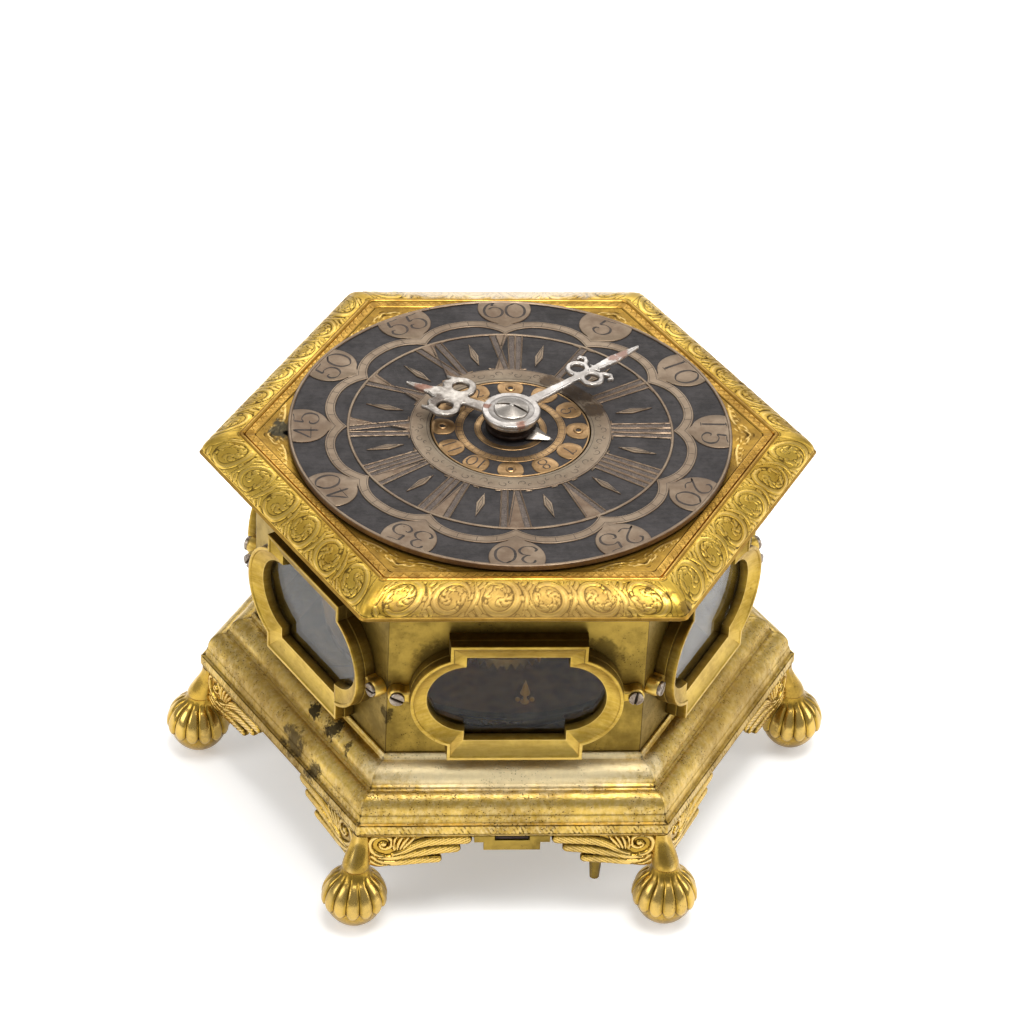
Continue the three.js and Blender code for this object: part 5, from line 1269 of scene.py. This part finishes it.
def makeAlarmDial(look):
    # a smaller disc with a ring of copper cartouches
    padOut, ring, ticks, padIn, bore = pick(look, "padOut ring ticks padIn bore")
    padZ, groundZ, around = pick(look, "padZ groundZ around")
    copper, ink = [], []

    def band(inner, outer, low, top, edge):
        copper.append(bevelStrip(circleLine(inner, around), circleLine(outer, around), low, top, edge))

    band(padOut - 0.05, look["outer"], look["low"] + 0.3, padZ, 0.12)
    for inner, outer in (ring, look["hubRing"]):
        band(inner, outer, groundZ - 0.1, padZ - 0.01, 0.1)
        ink += [ribbon(closed(circleLine(radius, 160)), 0.1, padZ + 0.01) for radius in (inner + 0.3, outer - 0.3)]
    for k in range(ticks):
        ink.append(tick(360 / ticks * k, ring[0] + 0.35, ring[1] - 0.35, 0.11, padZ + 0.012))
    # the pad's outline is a rounded rectangle that widens outwards
    c, s = polar(1, fullTurn(look["padAround"]))
    half = (padOut - padIn) / 2 + 0.25
    y0 = half * np.sign(s) * np.abs(s) ** 0.75
    x0 = look["padWide"] * np.sign(c) * np.abs(c) ** 0.85 * (1 + 0.12 * y0 / half)
    padRows = [(1.0, groundZ - 0.1, 0.3), (1.0, padZ - 0.06, 0.5), (0.96, padZ, 0.75), (0.5, padZ, 0.66),
               (0.0, padZ, 0.66)]
    # a small hollow rivet at every third hour, a number at the others
    profile = [(1.25, padZ - 0.05), (1.2, padZ + 0.12), (0.95, padZ + 0.26), (0.72, padZ + 0.2), (0.6, padZ - 0.02)]
    rivet = lathe(profile, 28, [0.2, 0.5, 0.9, 0.6, 0.1], True)
    hole = lathe([(0.62, padZ + 0.03), (0.0, padZ + 0.02)], 28, None, True)
    for k in range(12):
        hour = (look["first"] + k - 1) % 12 + 1
        place = radialPlace((padIn + padOut) / 2, 90 - 30 * k)
        copper.append(padSkin(place, x0, y0, padRows))
        if hour % 3 == 0:
            copper.append(moved(rivet, None, (*place(0.0, 0.2), 0)))
            ink.append(moved(hole, None, (*place(0.0, 0.2), 0)))
        else:
            ink += digitSkins(str(hour), *pick(look, "tall wide gap thick thin"), padZ + 0.012, place)
    rings = [(bore, look["low"]), (look["outer"] - 0.03, look["low"]), (look["outer"] - 0.03, groundZ)]
    rings += [(r, groundZ) for r in np.linspace(look["outer"] - 0.2, bore, 30)] + [(bore, look["low"])]
    addPiece("alarmGround", [lathe(rings, 160)], "ground", "alarm", ["alarm_disc"])
    for name, skins, finish, sharp in (("alarmCopper", copper, "copper", 30.0), ("alarmInk", ink, "ink", 35.0)):
        addPiece(name, [turnedBy(one, look["turned"]) for one in skins], finish, "alarm", (), sharp)


makeAlarmDial(alarmDial)
print("dial ready")

# dial plate: six engraved corners round the disc

dialPlate = dict(half=53.05, top=98.0, low=96.9, hub=47.5, across=60, along=90, depth=0.16)


def makeDialPlate(look):
    # one corner is a sheet from the disc out to two half sides; it is used six times
    strokes = []
    for hand in (-1, 1):
        loop = spiral(56.3, 2.6 * hand, 1.7, 0.55, 180, 1.05 * hand, 16)
        strokes.append(stroke(loop, [0.2, 0.3, 0.32, 0.3]))
        strokes.append(stroke([(55.0, 4.0 * hand), (54.2, 6.6 * hand), (54.0, 9.6 * hand), (53.9, 12.5 * hand)],
                              [0.35, 0.42, 0.34, 0.15]))
        for k in range(4):
            y = (5.0 + 2.0 * k) * hand
            strokes.append(stroke([(54.6 - 0.1 * k, y), (55.6 - 0.35 * k, y + 0.7 * hand),
                                   (56.0 - 0.5 * k, y + 1.5 * hand)], [0.34, 0.32, 0.14]))
        strokes.append(stroke([(58.2, 0.3 * hand), (57.6, 1.2 * hand), (58.0, 1.9 * hand)], [0.22, 0.3, 0.14]))
    strokes.append(stroke([(57.4, 0), (58.8, 0), (60.2, 0)], [0.3, 0.36, 0.12]))
    strokes = np.concatenate(strokes)
    u = np.linspace(-1, 1, look["along"])
    v = np.linspace(0, 1, look["across"])
    theta = np.radians(30) * u
    outer = look["half"] / np.cos(np.radians(30) - np.abs(theta))
    radius = look["hub"] + (outer - look["hub"]) * v[:, None]
    x, y = polar(radius, theta)
    q, _ = strokeField(x, y, strokes)
    ridge, groove = raised(q)
    ground = np.sin(x * 7.0 + y * 2.0) * np.sin(y * 8.0 - x * 1.5)
    fade = unit((outer - radius) / 0.8)
    z = look["top"] + look["depth"] * (ridge * 0.5 - groove * 0.6 + 0.12 * (ground - 1) * (q > 1.3) - 0.2) * fade
    value = unit(0.5 + 0.4 * ridge - 0.4 * groove - 0.16 * (q > 1.4))
    wall = np.stack([np.stack([x[-1], y[-1], z[-1]], -1), np.stack([x[-1], y[-1], np.full(len(u), look["low"])], -1)])
    one = [gridSkin(np.stack([x, y, z], -1), False, value, True), gridSkin(wall, False, None, True)]
    skins = [turnedBy(s, 60 * k) for k in range(6) for s in one]
    addPiece("dialPlate", skins, "giltPlate", "case", ["dial_plate"], 60.0)


makeDialPlate(dialPlate)
print("dial plate ready")

# hands

hands = dict(
    minute=dict(reach=42.2, at=24.1, spread=2.6, ring=2.9, hole=1.7, boss=7.0, low=104.5, top=105.5, turn=39.2,
                bore=2.1, curl=[(1.9, 2.2), (3.6, 3.3), (4.3, 4.6), (3.7, 5.7), (2.8, 5.5)],
                curlWide=[0.55, 0.5, 0.42, 0.3]),
    hour=dict(reach=28.2, at=16.1, spread=4.4, ring=3.7, hole=2.0, boss=6.3, low=103.2, top=104.2, turn=151.5,
              bore=3.3),
    tail=11.3, pitch=0.16, edge=0.22,
)


def withBoss(x, y, shape, holeAt, h):
    # the round boss added to a hand, then the holes in its rings and its bore cut
    shape = np.minimum(shape, np.hypot(x, y) - h["boss"])
    hole = h["hole"] - np.hypot(x - holeAt, y - h["spread"])
    return np.maximum(np.maximum(shape, hole), h["bore"] - np.hypot(x, y))


def minuteShape(h):
    # below 0 inside the minute hand, which lies along x
    at, reach = pick(h, "at reach")

    def distance(x, y):
        y = np.abs(y)
        stem = segmentDistance(x, y, 0, 0, at - 1.5, 0, 1.5, 0.85)
        ring = np.hypot(x - at, y - h["spread"]) - h["ring"]
        shape = softMin(stem, ring, 0.9)
        blade = segmentDistance(x, y, at + 2.4, 0, at + 9.5, 0, 0.75, 1.3)
        blade = np.minimum(blade, segmentDistance(x, y, at + 9.5, 0, reach - 0.25, 0, 1.3, 0.2))
        foot = segmentDistance(x, y, at + 3.4, 0, at + 3.4, 1.5, 0.5, 0.25)
        shape = softMin(shape, softMin(blade, foot, 0.5), 0.5)
        # curls that spring from the rings on the side of the point
        for a, b, w in zip(h["curl"][:-1], h["curl"][1:], h["curlWide"]):
            shape = softMin(shape, segmentDistance(x, y, at + a[0], a[1], at + b[0], b[1], w, w * 0.9), 0.35)
        return withBoss(x, y, shape, at, h)
    return distance


def hourShape(h):
    # below 0 inside the hour hand, which lies along x
    at, reach = pick(h, "at reach")

    def distance(x, y):
        y = np.abs(y)
        stem = segmentDistance(x, y, 0, 0, at - 3.5, 0, 1.9, 1.2)
        ring = np.hypot(x - at + 0.6, y - h["spread"]) - h["ring"]
        heart = segmentDistance(x, y, at - 1.0, 0, at + 3.2, 0, 3.0, 2.2)
        shape = softMin(softMin(stem, ring, 0.8), heart, 1.4)
        horn = segmentDistance(x, y, at + 1.5, 6.4, at + 4.4, 6.9, 0.9, 0.12)
        knob = np.hypot(x - at - 2.6, y - 4.2) - 1.5
        shape = softMin(softMin(shape, horn, 0.7), knob, 0.8)
        blade = segmentDistance(x, y, at + 3.0, 0, at + 8.0, 0, 1.45, 1.0)
        blade = np.minimum(blade, segmentDistance(x, y, at + 8.0, 0, reach - 0.2, 0, 1.0, 0.15))
        shape = softMin(shape, blade, 0.9)
        return withBoss(x, y, shape, at - 0.5, h)
    return distance


def makeHands(look):
    # both hands are cut from plates; washer and collet are turned
    pitch, edge, tail = pick(look, "pitch edge tail")
    m, h = look["minute"], look["hour"]
    plate = cutPlate(minuteShape(m), (-m["boss"] - 0.3, -8.8, m["reach"] + 0.3, 8.8), pitch, m["low"], m["top"], edge)
    washer = lathe([(5.6, m["top"] - 0.02), (5.5, m["top"] + 0.06), (4.4, m["top"] + 0.09), (3.9, m["top"] + 0.06)],
                   96, [0.3, 0.8, 0.7, 0.3], True)
    addPiece("minuteHand", [turnedBy(plate, m["turn"]), dict(washer, relief=washer["relief"] * 0.42)], "steel",
             "minute", ["minute_hand"], 50.0)
    plate = cutPlate(hourShape(h), (-h["boss"] - 0.3, -9.6, h["reach"] + 0.3, 9.6), pitch, h["low"], h["top"], edge)
    addPiece("hourHand", [turnedBy(plate, h["turn"])], "steelWorn", "hour", ["hour_hand"], 50.0)
    collet = lathe([(3.3, 100.3), (5.9, 100.3), (6.1, 100.6), (6.1, 101.2), (5.6, 101.5), (5.5, 102.6), (5.9, 103.0),
                    (5.9, 103.25), (3.3, 103.25)], 96)
    addPiece("hourCollet", [collet], "darkSteel", "hour", ())
    # the alarm pointer: a faceted point under the hub, opposite the hour hand
    s = np.linspace(3.0, tail, 30)[:, None]
    w = np.interp(s, [3.0, 6.3, tail], [3.2, 2.5, 0.02])
    u = np.array([-1, -1, -0.5, 0, 0.5, 1, 1])
    z = np.array([100.3, 100.55, 100.95, 101.3, 100.95, 100.55, 100.3])
    thin = np.interp(s, [6.3, tail], [1.0, 0.35])
    points = np.stack([s + 0 * u, w * u, 100.3 + (z - 100.3) * thin], -1)
    base = np.stack([points[:, -1], points[:, 0]], 1)
    pointer = [gridSkin(points, False, None, False), gridSkin(base, False, None, False)]
    addPiece("alarmPointer", [turnedBy(p, h["turn"] + 180) for p in pointer], "steelWorn", "hour", (), 20.0)


makeHands(hands)

handScrew = dict(radius=4.25, seat=105.6, rim=0.34, rise=1.16, slot=0.46, turn=-25.0, pin=0.6)


def slottedHead(radius, slot, pad, pitch, low, top, edge, crown):
    # the two halves of a round head beside its slot
    def distance(x, y):
        return np.maximum(np.hypot(x, y) - radius, slot / 2 - np.abs(y))

    reach = radius + pad
    return cutPlate(distance, (-reach, -reach, reach, reach), pitch, low, top, edge, crown)


def makeHandScrew(look):
    # a low cone with a slot: height = rise (1 - (distance / radius)^1.25)
    r, z = look["radius"], look["seat"]

    def cone(x, y):
        d = np.hypot(x, y) / r
        return look["rise"] * (1 - unit(d) ** 1.25), np.where(d > 0.9, 0.8, 0.66)

    head = slottedHead(r, look["slot"], 0.2, 0.12, z, z + look["rim"], 0.12, cone)
    floorOfSlot = lathe([(r - 0.15, z + look["rim"] * 0.5), (0.0, z + look["rim"] * 0.9)], 48, [0.1, 0.1], True)
    pin = lathe([(look["pin"], z + 0.3), (look["pin"], z + 1.28), (look["pin"] * 0.75, z + 1.42), (0.0, z + 1.46)],
                24, [0.4, 0.8, 0.9, 0.9], True)
    addPiece("handScrew", [turnedBy(head, look["turn"]), floorOfSlot, pin], "steelWorn", "minute", ["hand_screw"],
             40.0)


makeHandScrew(handScrew)
print("hands ready")

# windows: bezels with their lugs, and the screws in them

window = dict(
    flare=0.32, halfWidth=16.3, halfHeight=17.55, endCentre=11.5, endRadius=13.9, above=62.05, wall=52.9, front=58.1,
    bevelSide=4.1, bevelTop=4.9, bevelDepth=1.6, glassTop=54.2, rebate=1.2, arcSteps=56, edgeSteps=64, stepSteps=9,
    lugOffset=28.25, lugRadius=2.15, web=1.15, lugTop=55.78, lugEdge=0.7, screwRadius=1.8, screwTop=56.68,
    screwSeat=55.7, slot=0.46, slotDepth=0.5,
    slotTurns=[20, 75, 140, 35, 100, 160, 60, 10, -28, 82, 45, 120],
)


def windowLine(side, top, look):
    # two round ends, and between them the corners of a rectangle
    a, b, r = look["halfWidth"] - side, look["halfHeight"] - top, look["endRadius"] - side
    reach = math.acos((a - look["endCentre"]) / r)
    t = np.linspace(-reach, reach, look["arcSteps"])
    arc = np.column_stack(polar(r, t)) + (look["endCentre"], 0)
    rise = np.linspace(arc[-1, 1], b, look["stepSteps"] + 1)[1:]
    up = np.column_stack([np.full(len(rise), a), rise])
    across = np.column_stack([np.linspace(a, -a, look["edgeSteps"])[1:-1], np.full(look["edgeSteps"] - 2, b)])
    down = np.column_stack([np.full(len(rise), -a), rise[::-1]])
    half = np.concatenate([arc, up, across, down])
    return np.concatenate([half, -half])


def bezelSkin(look):
    # each row is the window's outline drawn in by two steps, with its height and its tone
    s, t, wall, front = look["bevelSide"], look["bevelTop"], look["wall"], look["front"]
    low = front - look["bevelDepth"] - 0.35
    mid = wall + 0.52 * (front - wall)
    # the low tones on the rows up the outer wall are painted shade on the bezel's side wall
    rows = [(0, 0, wall, 0.05), (0, 0, wall + 0.5, 0.14), (0, 0, mid - 0.25, 0.2), (0.0, 0.0, mid - 0.12, 0.3),
            (0.12, 0.12, mid, 0.08), (0.18, 0.18, mid + 0.16, 0.1), (0.18, 0.18, mid + 0.4, 0.2),
            (0.18, 0.18, front - 0.7, 0.28), (0.18, 0.18, front - 0.16, 0.5), (0.22, 0.22, front - 0.05, 0.64),
            (0.34, 0.34, front, 0.62), (0.6, 0.62, front, 0.6), (0.9, 0.95, front - 0.04, 0.6),
            (1.0, 1.05, front - 0.12, 0.4)]
    for share in np.linspace(0.27, 1.0, 12):
        dish = 0.3 * math.sin(math.pi * share)
        rows.append((s * share, t * share, front - (look["bevelDepth"] + 0.35) * (share - 0.2) / 0.8 - dish,
                     0.55 if share < 0.95 else 0.85))
    for share in (0.06, 0.3, 0.6, 0.85, 1.0):
        rows.append((s + look["flare"] * share, t + look["flare"] * share, low + (look["glassTop"] - low) * share,
                     0.4 - 0.3 * share))
    rebate = look["rebate"]
    rows += [(s - rebate, t - rebate, look["glassTop"], 0.2), (s - rebate, t - rebate, wall, 0.2), (0, 0, wall, 0.3)]
    grid = np.stack([level(z, windowLine(a, b, look)) for a, b, z, _ in rows])
    # the upper bevel is painted a little darker than the lower one: shade under the top frame above, a painted
    # highlight below
    tone = np.repeat(np.array([row[3] for row in rows])[:, None], grid.shape[1], 1)
    tone = unit(tone - 0.26 * unit((grid[..., 1] - 9) / 4) + 0.18 * unit((-grid[..., 1] - 9) / 4) * (tone > 0.5))
    return gridSkin(grid, True, tone)


def lugSkin(side, look):
    # a round boss on a short web, on one side of the bezel
    end = look["endCentre"] + look["endRadius"]

    def distance(x, y):
        boss = np.hypot(x - look["lugOffset"], y) - look["lugRadius"]
        web = segmentDistance(x, y, end - 0.8, 0.0, look["lugOffset"], 0.0, look["web"] + 0.75, look["web"] - 0.3)
        return np.maximum(softMin(boss, web, 0.9), end - 0.6 - x)

    reach = look["lugRadius"] + 0.3
    box = (end - 0.9, -reach, look["lugOffset"] + reach, reach)
    one = cutPlate(distance, box, 0.16, look["wall"], look["lugTop"], look["lugEdge"])
    return one if side > 0 else moved(dict(one, quads=one["quads"][:, ::-1], tris=one["tris"][:, ::-1]),
                                      np.diag([-1, 1, 1]))


def screwSkins(turn, look):
    # a slotted head and the bed of its slot
    r, bedZ = look["screwRadius"], look["screwTop"] - look["slotDepth"]

    def crown(x, y):
        return 0.12 * (1 - (np.hypot(x, y) / r) ** 2), np.where(np.hypot(x, y) > r * 0.85, 0.75, 0.62)

    head = slottedHead(r, look["slot"], 0.1, 0.1, look["screwSeat"], look["screwTop"] - 0.12, 0.22, crown)
    bed = lathe([(r - 0.12, look["screwSeat"]), (r - 0.12, bedZ), (0.0, bedZ)], 28, [0.05, 0.05, 0.05])
    return [turnedBy(one, turn) for one in (head, bed)]


def makeWindows(look):
    # on each side a bezel with two lugs, and a screw in each lug
    names = ["back_right", "back", "back_left", "front_left", "front", "front_right"]
    for k, name in enumerate(names):
        angle = 30 + 60 * k
        lift = (0, look["above"], 0)
        skins = [bezelSkin(look), lugSkin(1, look), lugSkin(-1, look)]
        addPiece("bezel" + str(k), [onSide(moved(one, None, lift), angle) for one in skins], "giltSatin", "case",
                 ["bezel_" + name], 32.0)
        for j, (hand, sign) in enumerate([("left", -1), ("right", 1)]):
            place = (sign * look["lugOffset"], look["above"], 0)
            skins = [onSide(moved(one, None, place), angle) for one in screwSkins(look["slotTurns"][2 * k + j], look)]
            addPiece("screw" + str(k) + hand, skins, "screwSteel", "case", ["screw_" + name + "_" + hand],
                     35.0)


makeWindows(window)
print("windows ready")

# feet: a gadrooned ball, a corner leg and two leaf wings

feet = dict(
    centre=75.1, middle=8.1, radius=8.02, neckTop=(2.95, 19.4), neckBack=1.1, lobes=14, perLobe=14, lobeDepth=0.42,
    lobeEnd=102.0, lobeCurve=13.0, capStep=0.42,
    legLow=16.4, legHigh=25.9, legRadius=3.44, neckX=74.6, cornerX=72.2, wallOut=64.3, legRows=26, legTurns=96,
    wingLow=62.6, wingTop=64.05, wingEdge=0.45, pitch=0.21, lift=0.34,
    volute=(6.14, 23.3),
    # each plume: its line (from the corner, height) and half widths
    plumes=[
        ([(3.4, 19.4), (5.6, 17.6), (9.1, 17.35), (14.1, 18.0), (19.2, 18.3)], [0.8, 1.0, 1.15, 1.25, 1.1]),
        ([(4.8, 19.0), (8.5, 18.95), (13.5, 20.1), (18.5, 21.2), (23.5, 21.7)], [0.6, 0.9, 1.25, 1.4, 1.25]),
        ([(8.4, 19.9), (11.2, 20.9), (13.6, 22.6), (17.5, 23.9), (26.0, 24.5)], [0.5, 0.8, 1.25, 1.45, 1.4]),
    ],
)


def ballSkin(look):
    # a neck that flows by a cubic curve into a sphere; along its normal the surface falls towards each lobe's edges,
    # and the lobes end in arcs over a smooth cap
    middle, radius = look["middle"], look["radius"]
    joinAt, edgeFall = 36, 0.3
    join = math.radians(joinAt)
    a, d = np.array(look["neckTop"]), np.array([radius * math.sin(join), middle + radius * math.cos(join)])
    b, c = a + (0.22, -2.6), d - 1.5 * np.array([math.cos(join), -math.sin(join)])
    t = np.linspace(0, 1, 16)[:-1, None]
    curve = a * (1 - t) ** 3 + 3 * b * t * (1 - t) ** 2 + 3 * c * t * t * (1 - t) + d * t ** 3
    theta = np.radians(np.concatenate([np.linspace(joinAt, 84, 24), np.linspace(85, 108, 46),
                                       np.linspace(110, 180, 26)]))
    profile = np.concatenate([curve, np.column_stack(polar(radius, theta))[:, ::-1] + (0, middle)])
    deg = np.concatenate([np.linspace(0, joinAt, 16)[:-1], np.degrees(theta)])[:, None]
    normal = wayAlong(profile)[1]
    turn = fullTurn(look["lobes"] * look["perLobe"])[None, :]
    t = (turn / (2 * math.pi) * look["lobes"] + 0.5) % 1.0 - 0.5
    inLobe = 1 - np.abs(2 * t) ** 4.0
    full = eased(unit((deg - 10) / 40))
    end = look["lobeEnd"] - look["lobeCurve"] * (2 * t) ** 2
    past = eased(unit((deg - end) / 2.6 + 0.5))
    fall = unit((end - deg) / 12.0)
    lobed = -look["lobeDepth"] * full * (1 - inLobe) - edgeFall * (1 - fall) ** 2
    sunk = -(look["capStep"] + edgeFall) * (1 - unit((deg - 110) / 70) ** 1.5)
    off = lobed + (sunk - lobed) * past
    r = np.maximum(profile[:, 0][:, None] + off * normal[:, 0][:, None], 0)
    r[-1] = 0
    z = profile[:, 1][:, None] + off * normal[:, 1][:, None]
    tone = 0.55 + full * (0.4 * (inLobe - 0.45) * (1 - past) - 0.3 * (np.abs(2 * t) > 0.93)
                          * (1 - past)) - 0.45 * peak(deg - end - 1.0, 2.2)
    centre = look["centre"] - look["neckBack"] * unit(1 - deg / joinAt)
    return gridSkin(np.stack([centre + r * np.cos(turn), r * np.sin(turn), np.maximum(z, 0.0)], -1), True, unit(tone))


def legSkin(look):
    # rings that go from the neck's circle to the rounded corner between the two sides
    legLow, neckX = pick(look, "legLow neckX")
    share = np.linspace(0, 1, look["legRows"])[:, None]
    z = legLow + (look["legHigh"] - legLow) * share
    turn = fullTurn(look["legTurns"])[None, :]
    flow = eased(share)
    centre = neckX + (look["cornerX"] - neckX) * flow
    wallOff = look["wallOut"] - look["cornerX"] * cos30
    power, widest = 7.0, 2.1
    sides = [(np.clip(np.cos(turn - math.radians(a)), 1e-6, 1) / w) ** power for a,
             w in ((30, wallOff), (-30, wallOff), (180, widest))]
    corner = np.minimum(sum(sides) ** (-1 / power), widest)
    waist = look["legRadius"] - 0.5 * unit(1 - share / 0.12)
    r = waist * (1 - flow) + corner * flow
    x, y = polar(r, turn)
    grid = np.stack([centre + x, y, z + 0 * turn], -1)
    bottom, lid = [np.tile([centre[k, 0], 0, height], (1, look["legTurns"], 1)) for k,
                   height in ((0, legLow), (-1, look["legHigh"]))]
    tone = 0.62 + 0.2 * peak(np.degrees(np.abs((turn + math.pi) % (2 * math.pi) - math.pi)), 14) + 0 * share
    tone = np.concatenate([tone[:1], tone, tone[-1:]])
    return gridSkin(np.concatenate([bottom, grid, lid]), True, tone)


def wingSkin(side, look):
    # a flat wing on one side of the leg: three plumes, a band, a scroll and a fan cut into its face
    corner = look["wingTop"] * tan30
    plumes = [stroke(line, radii, 0.25) for line, radii in look["plumes"]]
    band = stroke([(1.1, 26.4), (1.2, 22.0), (2.1, 18.7), (4.6, 17.0), (7.4, 16.75)], [1.0, 1.05, 1.1, 1.0, 0.55],
                  0.25)
    outline = np.concatenate(plumes + [band])
    cx, cy = look["volute"]
    scroll = [stroke(spiral(cx, cy, 3.9, 0.8, 265, -1.2, 30), [0.66, 0.62, 0.52, 0.42]),
              stroke([(cx - 0.1, cy), (cx + 0.1, cy)], [0.85, 0.85], 0.1)]
    fan = [stroke([(cx + 2.6 + 0.75 * k, cy - 1.6 + 0.15 * k), (cx + 2.5 + 1.25 * k, cy + 0.6),
                   (cx + 3.3 + 1.5 * k, cy + 2.7)], [0.42, 0.5, 0.3]) for k in range(4)]
    drawn = plumes + [band] + scroll + fan

    def distance(x, y):
        q, which = strokeField(x, y, outline)
        d = (q - 1) * outline[which, 2]
        root = np.maximum(np.maximum(x - 9.5, 17.2 - y), 0.4 - x)
        bay = np.maximum(np.maximum(x - 16.0, 20.5 - y), 9.0 - x)
        return np.maximum(np.minimum(np.minimum(d, root), bay), y - 25.95)

    def relief(x, y):
        first, second = foliage(x, y, drawn)
        leaf, cutLine = engraved(first, second)
        q, _ = strokeField(x, y, outline)
        feather = unit((x - 9.0) / 2.0) * (q < 1) * (first > 0)
        lines = 0.5 + 0.5 * np.cos(2 * math.pi * (x * 0.62 - y * 1.0) / 0.82)
        lines = unit((lines - 0.5) / 0.35) * feather * (1 - cutLine)
        open_ = unit((first - 1.05) / 0.2)
        height = look["lift"] * (leaf - 0.55) - 0.3 * cutLine - 0.13 * lines - 0.12 * open_
        tone = 0.55 + 0.33 * leaf - 0.5 * cutLine - 0.3 * lines - 0.15 * open_
        plain = unit((1.6 - x) / 0.8)
        return height * (1 - plain), unit(tone * (1 - plain) + 0.62 * plain)

    one = cutPlate(distance, (-0.2, 15.9, 28.0, 26.2), look["pitch"], look["wingLow"], look["wingTop"],
                   look["wingEdge"], relief)
    p = one["points"]
    placed = np.column_stack([-side * (corner - p[:, 0]), p[:, 1], p[:, 2]])
    quads, tris = (one["quads"], one["tris"]) if side > 0 else (one["quads"][:, ::-1], one["tris"][:, ::-1])
    return onSide(skin(placed, quads, tris, one["relief"]), 30 * side)


def makeFeet(look):
    # one foot, turned to the six corners
    skins = [ballSkin(look), legSkin(look), wingSkin(1, look), wingSkin(-1, look)]
    for k, name in enumerate(["right", "back_right", "back_left", "left", "front_left", "front_right"]):
        addPiece("foot" + str(k), [turnedBy(one, 60 * k) for one in skins], "giltFeet", "base", ["foot_" + name],
                 38.0)


makeFeet(feet)
print("feet ready")

# bell: a bowl open upwards, with a hole for the winding key

bellBowl = dict(hole=2.3, radius=38.0, wall=1.5, foot=28.31, rim=41.5, curve=0.7, pitch=0.5, keyAt=(-15.584, 8.998),
                keyRadius=5, lines=(0.3, 0.62, 0.93))


def makeBell(look):
    # radius = hole + (reach - hole) sin(t)^curve and height = rise (1 - cos t),
    # with t from 0 at the hole to 90 degrees at the rim
    hole, radius, wall, keyAt, foot, rim = pick(look, "hole radius wall keyAt foot rim")
    def curveAt(t, reach, low, rise):
        return hole + (reach - hole) * np.sin(t) ** look["curve"], low + rise * (1 - np.cos(t))

    def angle(x, y):
        share = (np.hypot(x, y) - hole) / (radius - hole)
        return unit(share) * math.pi / 2

    def distance(x, y):
        flat = np.maximum(np.hypot(x, y), 1e-6)
        r, _ = curveAt(angle(x, y), radius - wall / 2, 0, 1)
        key = look["keyRadius"] - np.hypot(x / flat * r - keyAt[0], y / flat * r - keyAt[1])
        return np.maximum(np.maximum(flat - radius, hole - flat), key)

    reach = radius + 0.6
    plate = cutPlate(distance, (-reach, -reach, reach, reach), look["pitch"], 0.0, 1.0, 0.0)
    x, y, w = plate["points"].T
    t, flat = angle(x, y), np.hypot(x, y)
    r0, z0 = curveAt(t, radius, foot, rim - foot)
    r1, z1 = curveAt(t, radius - wall, foot + wall, rim - foot - wall)
    r = r0 + (r1 - r0) * w
    share = t / (math.pi / 2)
    tone = 0.6 - 0.4 * sum(peak(share - one, 0.012) for one in look["lines"])
    points = np.column_stack([x / flat * r, y / flat * r, z0 + (z1 - z0) * w])
    addPiece("bellBowl", [dict(plate, points=points, relief=tone)], "bell", "base", ["bell"], 60.0)


makeBell(bellBowl)
print("bell ready")

# a pointed finial between two beads, on the edge of the pillar plate, seen through the front pane

finial = dict(at=(3.4, -39.6, 46.8), tall=7.6, bead=0.62, apart=1.75, rise=1.5)


def makeFinial(look):
    # the finial's radius falls from a collar to a point; a bead is a sphere
    top = look["tall"]
    post = lathe([(1.1, 0.0), (1.1, 0.9), (0.5, 1.2), (0.42, 3.0), (1.25, 3.5), (0.7, 5.4), (0.0, top)][::-1], 24)
    turn = np.linspace(0, math.pi, 12)
    bead = lathe(np.column_stack([look["bead"] * np.sin(turn), look["bead"] * np.cos(turn) + look["rise"]]), 20)
    stalk = lathe([(0.22, 1.2), (0.22, 0.0)], 12)
    skins = [post] + [moved(one, None, (side * look["apart"], 0, 0)) for side in (-1, 1) for one in (bead, stalk)]
    addPiece("finial", [moved(one, None, look["at"]) for one in skins], "glint", "case", (), 40.0)


makeFinial(finial)
print("finial ready")

# what keeps its solid and takes a finish

kept = dict(
    giltWalls=["case_walls", "bottom_plate", "hinge_pin", "catch_plate"],
    giltFrame=["top_frame"], giltBase=["base_moulding"], giltPlate=["dial_plate"],
    bell=["bell"], darkSteel=["catch_bolt", "bell_stand"], wheels=["contrate_wheel", "crown_wheel"],
    glass=[n for n in nodes if n.startswith("glass_")],
    movement=["pillar_plate", "top_plate", "fusee", "barrel", "fusee_chain", "centre_wheel", "third_wheel",
              "balance", "balance_cock", "alarm_hammer", "cannon_pinion", "minute_wheel", "hour_wheel"],
)
for finish, names in kept.items():
    for name in names:
        nodes[name].data.materials.clear()
        nodes[name].data.materials.append(finishes[finish])
print("solids dressed")
